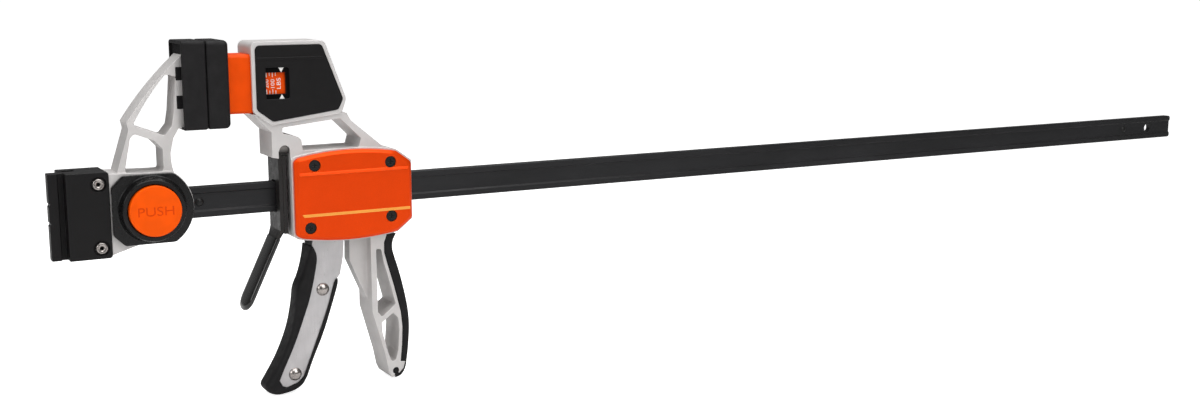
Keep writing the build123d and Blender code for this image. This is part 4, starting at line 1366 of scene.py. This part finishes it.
@dataclass
class LoadGauge:
    """Plunger, scale, covers and pad of the load gauge."""

    pad: JawPad = field(default_factory=lambda: JawPad(18.15, 0.15, 4.2, 4.0))
    skirt_face: float = 16.0
    plunger_travel: float = 16.5
    zero_x: float = 59.0
    step: float = 5.0
    figures: tuple[str, ...] = ("100", "200", "300")
    figure_size: Spot = (6.9, 3.1)
    unit_size: Spot = (8.8, 3.3)
    figure_z: float = 94.4
    tick_rows: Spot = (102.2, 87.2)
    tick_hidden: float = 1.5
    long_tick: float = 2.6
    short_tick: float = 1.5
    tick_width: float = 0.55
    ink: float = 0.04
    arrow_x: float = 60.6
    arrow_rows: Spot = (106.2, 83.0)
    arrow_radius: float = 2.7
    cover_face: float = 19.6
    recess: float = 1.0
    recess_ends: Spot = (47.6, 67.2)
    recess_rows: Spot = (80.0, 109.4)
    recess_wanted: Spot = (81.8, 107.6)
    recess_corner: float = 2.0
    ridge: Place = (40.2, 96.0, 114.6)
    ridge_half: float = 1.1
    ridge_root: float = 0.3
    ridge_proud: float = 0.4

    def build(self) -> None:
        """Build every piece of the gauge."""
        # The plunger gets the darker orange of painted shade.
        Bench.soften("gauge_plunger", "plunger_box", Body.PLUNGER, Finishes.PLUNGER, width=0.5)
        for side in Side:
            self.build_cover(side)
            self.build_scale(side)
        pad = self.pad.block()
        Bench.finish(pad, "moving_rubber_pad", Body.PLUNGER, Finishes.RUBBER, ["moving_jaw_pad"])
        Bench.dress(["gauge_guide_bolt"], Finishes.STEEL)
        Spring("gauge_spring", Body.HEAD, "gauge_press", X_AXIS, self.plunger_travel).build()

    def build_cover(self, side: Side) -> None:
        """Round the cover's edges and give it its ridge and its two arrows.

        Args:
            side: Side of the clamp.
        """
        node = f"{side.label}_gauge_cover"
        cover = Bench.copy_node(node)
        for row, wanted in zip(self.recess_rows, self.recess_wanted):
            Bench.shift(cover, (0.0, 0.0, wanted - row), lambda spot: self.on_recess(spot, row))
        outer, floor = self.cover_face - 0.1, self.cover_face - self.recess
        Bench.pick_faces(cover, lambda at, normal: abs(at.y) > outer and abs(normal.y) > 0.99)
        bpy.ops.mesh.quads_convert_to_tris(quad_method="BEAUTY", ngon_method="CLIP")
        Bench.bevel_edges(cover, self.recess_corner, 5, self.recess_edge)
        Bench.round_off(cover, width=0.4)
        # The recess floor around the window gets the near-black of painted shade.
        Bench.paint(cover, Finishes.BLACK, Finishes.SHADOW)
        Bench.pick_faces(cover, lambda at, normal: abs(abs(at.y) - floor) < 0.1 and abs(normal.y) > 0.9)
        Bench.use_second(cover)
        left, right, z = self.ridge
        near, far = side.span(self.cover_face - self.ridge_root, self.cover_face + self.ridge_proud)
        ridge = Bench.block((left, near, z - self.ridge_half), (right, far, z + self.ridge_half))
        Bench.round_off(ridge, width=0.38)
        Bench.paint(ridge, Finishes.BLACK)
        lid = Bench.join([cover, ridge])
        Bench.finish(lid, f"{side.label}_gauge_lid", Body.HEAD, Finishes.BLACK, [node])
        self.build_arrow(side, self.arrow_rows[0], 180.0, "high")
        self.build_arrow(side, self.arrow_rows[1], 0.0, "low")

    def on_recess(self, spot: Vector, row: float) -> bool:
        """Whether a corner lies on the upper or lower wall of the window's recess."""
        return abs(spot.z - row) < 0.05 and self.recess_ends[0] - 0.1 < spot.x < self.recess_ends[1] + 0.1

    def recess_edge(self, start: Vector, end: Vector) -> bool:
        """Whether an edge is one of the recess's two corners on its long side."""
        across = abs(start.x - end.x) < 0.01 and abs(start.z - end.z) < 0.01
        return across and abs(start.x - self.recess_ends[1]) < 0.05 and abs(start.y) > self.cover_face - 1.2

    def build_arrow(self, side: Side, z: float, turn: float, row: str) -> None:
        """Model one printed arrow.

        Args:
            side: Side of the clamp.
            z: Height of its middle.
            turn: Degrees that it is turned by; 0 points up.
            row: Word for its height in its name.
        """
        Bench.clear()
        bpy.ops.mesh.primitive_circle_add(vertices=3, radius=self.arrow_radius * MM, fill_type="NGON")
        arrow = bpy.context.object
        arrow.rotation_euler = (math.pi / 2, math.radians(turn), 0.0)
        Bench.move(arrow, self.arrow_x, side.value * (self.cover_face - self.recess), z)
        Bench.edit(arrow)
        Bench.extrude(0.0, side.value * self.ink, 0.0)
        Bench.tidy(arrow)
        Bench.finish(arrow, f"{side.label}_arrow_{row}", Body.HEAD, Finishes.INK)

    def build_scale(self, side: Side) -> None:
        """Print the scale on one side of the plunger: its unit, its figures and its ticks.

        Args:
            side: Side of the clamp.
        """
        marks = [self.word("LBS", self.unit_size, self.zero_x, side)]
        for count, figure in enumerate(self.figures, start=1):
            marks.append(self.word(figure, self.figure_size, self.zero_x - count * self.step, side))
            marks += self.ticks(self.zero_x - count * self.step, self.long_tick, side)
            marks += self.ticks(self.zero_x - (count - 0.5) * self.step, self.short_tick, side)
        Bench.finish(Bench.join(marks), f"{side.label}_scale", Body.PLUNGER, Finishes.INK)

    def word(self, text: str, size: Spot, x: float, side: Side) -> Piece:
        """Model a word of the scale that can be read from its own side.

        Args:
            text: The word.
            size: Its length and the height of its capitals.
            x: Its place along the bar.
            side: Side of the clamp.

        Returns:
            The word.
        """
        word = Bench.letters(text, *size, 2 * self.ink)
        if side is Side.REAR:
            word.rotation_euler = (0.0, 0.0, math.pi)
            Bench.apply_place(word)
        word.rotation_euler = (0.0, side.value * math.pi / 2, 0.0)
        Bench.apply_place(word)
        return Bench.move(word, x, side.value * self.skirt_face, self.figure_z)

    def ticks(self, x: float, length: float, side: Side) -> list[Piece]:
        """Model the ticks at one place of the scale.

        Args:
            x: The place along the bar.
            length: Their length.
            side: Side of the clamp.

        Returns:
            The upper and the lower tick.
        """
        near, far = side.span(self.skirt_face - self.ink, self.skirt_face + self.ink)
        half = self.tick_width / 2
        high, low = self.tick_rows
        rows = ((high - length, high + self.tick_hidden), (low - self.tick_hidden, low + length))
        return [Bench.block((x - half, near, bottom), (x + half, far, top)) for bottom, top in rows]


@dataclass
class MovingHead:
    """Casting of the moving head with its covers and its backstrap."""

    pivot_x: float = 104.0
    web_half: float = 6.5
    web_blend: float = 6.0
    handle_x: float = 134.3
    cover_face: float = 24.0
    cover_corner: float = 2.2
    cover_inside: tuple[float, float, float] = (76.0, 162.0, 14.0)
    ridge_lean: float = 0.6
    ridge_z: float = 18.3
    stripe: tuple[float, float, float, float] = (72.6, 167.8, -16.7, -14.3)
    stripe_root: float = 0.2
    stripe_proud: float = 0.12
    stripe_slant: float = 1.8
    strap_half: float = 15.0
    strap_bulb: Place = (50.6, -160.0, 3.0)
    strap: tuple[Band, ...] = (
        Band(
            (
                (54.5, -39.0), (51.5, -43.8), (50.5, -50.0), (51.3, -55.2), (56.4, -71.2), (61.0, -90.0),
                (64.3, -108.0), (65.0, -122.7), (63.3, -142.7), (61.6, -153.0),
            ),
            (
                (44.6, -39.0), (42.2, -45.5), (42.2, -54.0), (44.7, -64.0), (50.3, -84.0),
                (56.0, -107.7), (57.3, -121.0), (56.6, -137.0), (54.9, -152.4),
            ),
            64, (15.0, 15.0), (2.2, 2.2),
        ),
        Band(
            ((61.5, -153.5), (60.4, -158.5), (57.8, -163.4), (54.8, -165.8), (50.8, -166.6)),
            ((59.0, -153.3), (57.5, -158.5), (53.5, -162.5), (51.5, -162.9), (49.6, -163.4)),
            20, (15.0, 15.0), (1.6, 1.2),
        ),
    )

    def build(self) -> None:
        """Build every piece of the head but its gauge, lever and trigger."""
        self.build_casting()
        for side in Side:
            self.build_cover(side)
            self.build_stripe(side)
        Bench.dress(["front_cover_screws", "rear_cover_screws"], Finishes.SCREW)
        Bench.dress(["trigger_pivot_pin"], Finishes.STEEL)
        self.build_strap()

    def build_casting(self) -> None:
        """Copy the casting and blend its web into its handle."""
        casting = Bench.copy_node("movable_jaw_frame")
        Bench.bevel_edges(casting, self.web_blend, 6, self.web_corner)
        Bench.finish(casting, "head_casting", Body.HEAD, Finishes.CAST, ["movable_jaw_frame"])

    def web_corner(self, start: Vector, end: Vector) -> bool:
        """Whether an edge lies in the corner between the web and the handle.

        Args:
            start: One end of the edge.
            end: Its other end.

        Returns:
            Whether it does.
        """
        return all(
            abs(spot.x - self.handle_x) < 0.05 and abs(abs(spot.y) - self.web_half) < 0.05
            for spot in (start, end)
        )

    def build_cover(self, side: Side) -> None:
        """Round the corners and edges of a cover.

        Args:
            side: Side of the clamp.
        """
        node = f"{side.label}_cover_plate"
        cover = Bench.copy_node(node)
        Bench.bevel_edges(cover, self.cover_corner, 4, self.outer_corner, sharp=20.0, clamp=False)
        Bench.shift(cover, (0.0, -side.value * self.ridge_lean, 0.0), self.on_ridge)
        Bench.round_off(cover, width=0.25, segments=2)
        Bench.finish(cover, f"{side.label}_cover", Body.HEAD, Finishes.COVER, [node])

    def outer_corner(self, start: Vector, end: Vector) -> bool:
        """Whether an edge runs across one of a cover's outer corners.

        Args:
            start: One end of the edge.
            end: Its other end.

        Returns:
            Whether it does.
        """
        middle = (start + end) / 2
        left, right, half = self.cover_inside
        return abs(start.y - end.y) > 1.5 and not left < middle.x < right and abs(middle.z) > half

    def on_ridge(self, spot: Vector) -> bool:
        """Whether a corner lies on the upper outer edge of a cover's ridge."""
        return abs(spot.y) > self.cover_face + 0.3 and spot.z > self.ridge_z

    def build_stripe(self, side: Side) -> None:
        """Model the painted stripe across a cover, with its left end cut at a slant.

        Args:
            side: Side of the clamp.
        """
        left, right, low, high = self.stripe
        near, far = side.span(self.cover_face - self.stripe_root, self.cover_face + self.stripe_proud)
        stripe = Bench.block((left, near, low), (right, far, high))
        slant = (self.stripe_slant, 0.0, 0.0)
        Bench.shift(stripe, slant, lambda spot: spot.x < left + 0.1 and spot.z < low + 0.1)
        Bench.round_off(stripe, width=0.08, segments=2)
        Bench.finish(stripe, f"{side.label}_cover_stripe", Body.HEAD, Finishes.STRIPE)

    def build_strap(self) -> None:
        """Model the rubber strip down the handle's back, with the bead that it hooks in by."""
        x, z, radius = self.strap_bulb
        bead = Bench.disc_across(self.pivot_x + x, z, radius, -self.strap_half, self.strap_half)
        strap = Bench.join([Bench.band(self.strap, self.pivot_x), bead])
        node, name = "backstrap_grip", "handle_backstrap"
        Bench.finish(strap, name, Body.HEAD, Finishes.RUBBER, [node], smooth=50.0, flat=False)


@dataclass
class ReleaseLever:
    """The two jamming plates, their spring and the dipped sleeve on the lever."""

    bend: Spot = (58.35, -28.2)
    lean: float = -31.0
    drop: float = -64.2
    sleeve_start: float = 7.2
    half_width: float = 13.1
    half_thick: float = 3.25
    wall: float = 1.6
    plate_travel: float = 2.3
    fullness: float = 2.7
    tip: float = 12.0
    facets: int = 40

    def build(self) -> None:
        """Build the plates and the sleeve."""
        Bench.soften("release_lever", "lever_plate", Body.RELEASE, Finishes.PLATE, width=0.45)
        Bench.soften("brake_plate", "second_brake_plate", Body.RELEASE, Finishes.PLATE, width=0.35)
        Spring("brake_spring", Body.HEAD, "release_press", X_AXIS, self.plate_travel).build()
        self.build_sleeve()

    def build_sleeve(self) -> None:
        """Model the sleeve as a flat oval bar with a round tip, open at its top."""
        end = math.hypot(self.lean, self.drop) + self.wall
        stations = [self.sleeve_start + (end - self.tip - self.sleeve_start) * step / 8 for step in range(9)]
        stations += [end - self.tip + self.tip * math.sin(math.pi / 2 * step / 12) for step in range(1, 12)]
        sleeve = Bench.skin([self.sleeve_ring(at, end) for at in stations])
        Bench.sink(sleeve, self.wall, (self.wall, 0.0, 0.0), lambda middle, normal: normal.x < -0.9)
        Bench.tidy(sleeve)
        sleeve.rotation_euler = (0.0, math.atan2(-self.drop, self.lean), 0.0)
        Bench.move(sleeve, self.bend[0], 0.0, self.bend[1])
        Bench.finish(sleeve, "dipped_sleeve", Body.RELEASE, Finishes.VINYL, ["lever_sleeve"], smooth=50.0)

    def sleeve_ring(self, at: float, end: float) -> list[Place]:
        """One cross-section of the sleeve.

        Args:
            at: Its place along the sleeve.
            end: Place of the sleeve's tip.

        Returns:
            The points round it.
        """
        left = min(1.0, (end - at) / self.tip)
        wide = self.half_width * math.sqrt(1.0 - (1.0 - left) ** 2)
        thick = self.half_thick * (1.0 - (1.0 - left) ** 4) ** 0.5
        ring = []
        for step in range(self.facets):
            angle = 2 * math.pi * step / self.facets
            circle = (math.cos(angle), math.sin(angle))
            y, z = (math.copysign(abs(part) ** (2 / self.fullness), part) for part in circle)
            ring.append((at, wide * y, thick * z))
        return ring


@dataclass
class Trigger:
    """Trigger plates, their rivets and roller, the rubber grip and the drive that they work."""

    pivot_x: float = 104.0
    core_half: float = 8.45
    drive_travel: float = 10.0
    core: tuple[Spot, ...] = (
        (-19.4, -37.5), (-20.0, -46.0), (-22.0, -60.0), (-27.0, -80.0), (-31.0, -100.0), (-38.0, -120.0),
        (-47.0, -141.0), (-56.0, -157.0), (-52.0, -162.5), (-38.7, -163.8), (-31.5, -160.5), (-28.0, -154.5),
        (-32.0, -149.0), (-30.0, -134.0), (-20.0, -106.0), (-13.0, -88.0), (-14.0, -72.0), (-13.0, -52.0),
        (-12.6, -37.5),
    )
    slot: tuple[Spot, ...] = ((-33.0, -151.0), (-16.0, -151.0), (10.0, -66.0), (-6.0, -66.0), (-14.0, -98.0))
    grip: tuple[Band, ...] = (
        Band(
            (
                (-20.8, -44.2), (-21.6, -46.0), (-27.3, -67.0), (-33.5, -79.0), (-34.2, -87.0),
                (-37.0, -107.0), (-41.5, -122.0), (-50.5, -141.5), (-62.0, -158.0),
            ),
            (
                (-19.3, -44.2), (-16.2, -51.0), (-17.0, -60.0), (-23.0, -86.4), (-30.5, -106.5),
                (-38.5, -127.0), (-48.0, -146.0), (-52.2, -155.6),
            ),
            90, (13.0, 13.0), (8.0, 8.0),
        ),
        Band(
            (
                (-62.3, -158.5), (-63.6, -161.5), (-61.0, -166.0), (-54.0, -168.8), (-47.0, -168.0),
                (-38.7, -166.4), (-31.5, -162.0), (-28.2, -155.6),
            ),
            (
                (-52.2, -156.0), (-52.0, -158.5), (-49.4, -161.4),
                (-45.7, -163.0), (-36.0, -159.9), (-31.0, -154.9),
            ),
            36, (13.0, 12.6), (7.5, 1.6),
        ),
        Band(
            ((-27.8, -155.0), (-22.0, -140.0), (-12.2, -119.0), (-3.6, -94.0), (1.9, -77.0), (1.5, -73.2)),
            ((-30.7, -154.2), (-18.4, -124.1), (-8.4, -99.0), (-2.0, -77.5), (-0.2, -73.8)),
            60, (12.6, 12.6), (1.6, 1.2),
        ),
    )

    def build(self) -> None:
        """Build every piece of the trigger and the drive."""
        for side in Side:
            name = f"{side.label}_trigger_plate"
            Bench.soften(name, f"{side.label}_trigger_side", Body.TRIGGER, Finishes.BRUSHED, width=0.3)
        Bench.dress(["trigger_rivets"], Finishes.RIVET)
        Bench.dress(["trigger_bushes", "roller_pin", "push_roller", "drive_plates"], Finishes.STEEL)
        Spring("drive_spring", Body.HEAD, "drive_slide", X_AXIS, self.drive_travel).build()
        self.build_grip()

    def build_grip(self) -> None:
        """Model the rubber grip: a band that is open behind for the web, and a core inside it."""
        core, slot = (
            Bench.trace([(self.pivot_x + x, z) for x, z in points], self.core_half)
            for points in (self.core, self.slot)
        )
        band = Bench.band(self.grip, self.pivot_x)
        Bench.cut(band, slot)
        grip = Bench.join([band, core])
        node, name = "trigger_grip", "finger_grip"
        Bench.finish(grip, name, Body.TRIGGER, Finishes.RUBBER, [node], smooth=50.0, flat=False)


# Studio


@dataclass
class Studio:
    """Floor, light and camera."""

    floor_z: float = -169.3
    floor_size: float = 60.0
    floor_shade: float = 0.8
    camera_place: Place = (-293.7, -1156.4, 184.0)
    camera_yaw: float = 29.822
    camera_pitch: float = 9.393
    camera_far: float = 100.0
    lens: float = 42.97
    sensor: float = 36.0
    world_light: float = 0.2
    floor_glow: float = 0.86
    lamps: tuple[tuple[str, Place, Place, float, float], ...] = (
        ("key_lamp", (700.0, -1700.0, 1300.0), (150.0, 0.0, 0.0), 1.4, 19.0),
        ("top_lamp", (150.0, -150.0, 1500.0), (150.0, 0.0, 0.0), 1.8, 30.0),
        ("side_lamp", (-1400.0, -500.0, 700.0), (0.0, 0.0, 30.0), 0.9, 8.0),
    )

    def build(self) -> None:
        """Set up the whole studio."""
        self.build_floor()
        self.build_world()
        for name, place, aim, size, power in self.lamps:
            self.build_lamp(name, place, aim, size, power)
        self.build_camera()
        bpy.context.scene.view_settings.view_transform = "Standard"

    def build_floor(self) -> None:
        """Lay a wide pale floor that the camera sees white but for the clamp's shadow."""
        Bench.clear()
        bpy.ops.mesh.primitive_plane_add(size=self.floor_size, location=(0.0, 0.0, self.floor_z * MM))
        floor = Bench.apply_place(bpy.context.object)
        floor.name = "floor"
        material = bpy.data.materials.new("pale_floor")
        tree = Tree(material)
        matt = tree.add("BsdfDiffuse", {"Color": (*[self.floor_shade] * 3, 1.0)})
        share = tree.add("Math", {0: tree.background(), 1: self.floor_glow}, operation="MULTIPLY")
        glow = tree.add("Emission", {"Color": WHITE, "Strength": share.outputs[0]})
        both = tree.add("AddShader", {0: matt.outputs[0], 1: glow.outputs[0]})
        tree.add("OutputMaterial", {"Surface": both.outputs[0]})
        floor.data.materials.append(material)

    def build_world(self) -> None:
        """White background for what sees it, and an even soft light for the rest."""
        world = bpy.data.worlds.new("studio")
        bpy.context.scene.world = world
        tree = Tree(world)
        ranges = {"To Min": self.world_light, "To Max": 1.0, "Value": tree.background()}
        strength = tree.add("MapRange", ranges).outputs["Result"]
        light = tree.add("Background", {"Color": WHITE, "Strength": strength})
        tree.add("OutputWorld", {"Surface": light.outputs[0]})

    @staticmethod
    def build_lamp(name: str, place: Place, aim: Place, size: float, power: float) -> None:
        """Hang a square soft lamp.

        Args:
            name: Its name.
            place: Its place in millimetres.
            aim: The spot that it faces, in millimetres.
            size: Its side in metres.
            power: Its power in watts.
        """
        Bench.clear()
        bpy.ops.object.light_add(type="AREA", location=[part * MM for part in place])
        lamp = bpy.context.object
        lamp.name = name
        lamp.data.size = size
        lamp.data.energy = power
        away = Vector(aim) - Vector(place)
        lamp.rotation_euler = away.to_track_quat("-Z", "Y").to_euler()

    def build_camera(self) -> None:
        """Set up the camera."""
        data = bpy.data.cameras.new("camera")
        data.lens = self.lens
        data.sensor_width = self.sensor
        data.sensor_fit = "HORIZONTAL"
        data.clip_end = self.camera_far
        camera = bpy.data.objects.new("camera", data)
        camera.location = [part * MM for part in self.camera_place]
        camera.rotation_euler = (math.radians(90.0 - self.camera_pitch), 0.0, math.radians(-self.camera_yaw))
        bpy.context.scene.collection.objects.link(camera)
        bpy.context.scene.camera = camera


def corners(box: tuple[Vector, Vector]) -> list[list[float]]:
    """Both corners of a box as plain lists of numbers."""
    return [list(corner) for corner in box]


def main() -> None:
    """Build the clamp's sub-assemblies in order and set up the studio."""
    logging.basicConfig(level=logging.INFO, format="%(message)s")
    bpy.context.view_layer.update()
    for part in (BarAssembly(), FixedJaw(), LoadGauge(), MovingHead(), ReleaseLever(), Trigger()):
        log.info("%s", type(part).__name__)
        part.build()
    Studio().build()
    Bench.clear()
    bpy.context.view_layer.update()


if __name__ == "__main__":
    main()
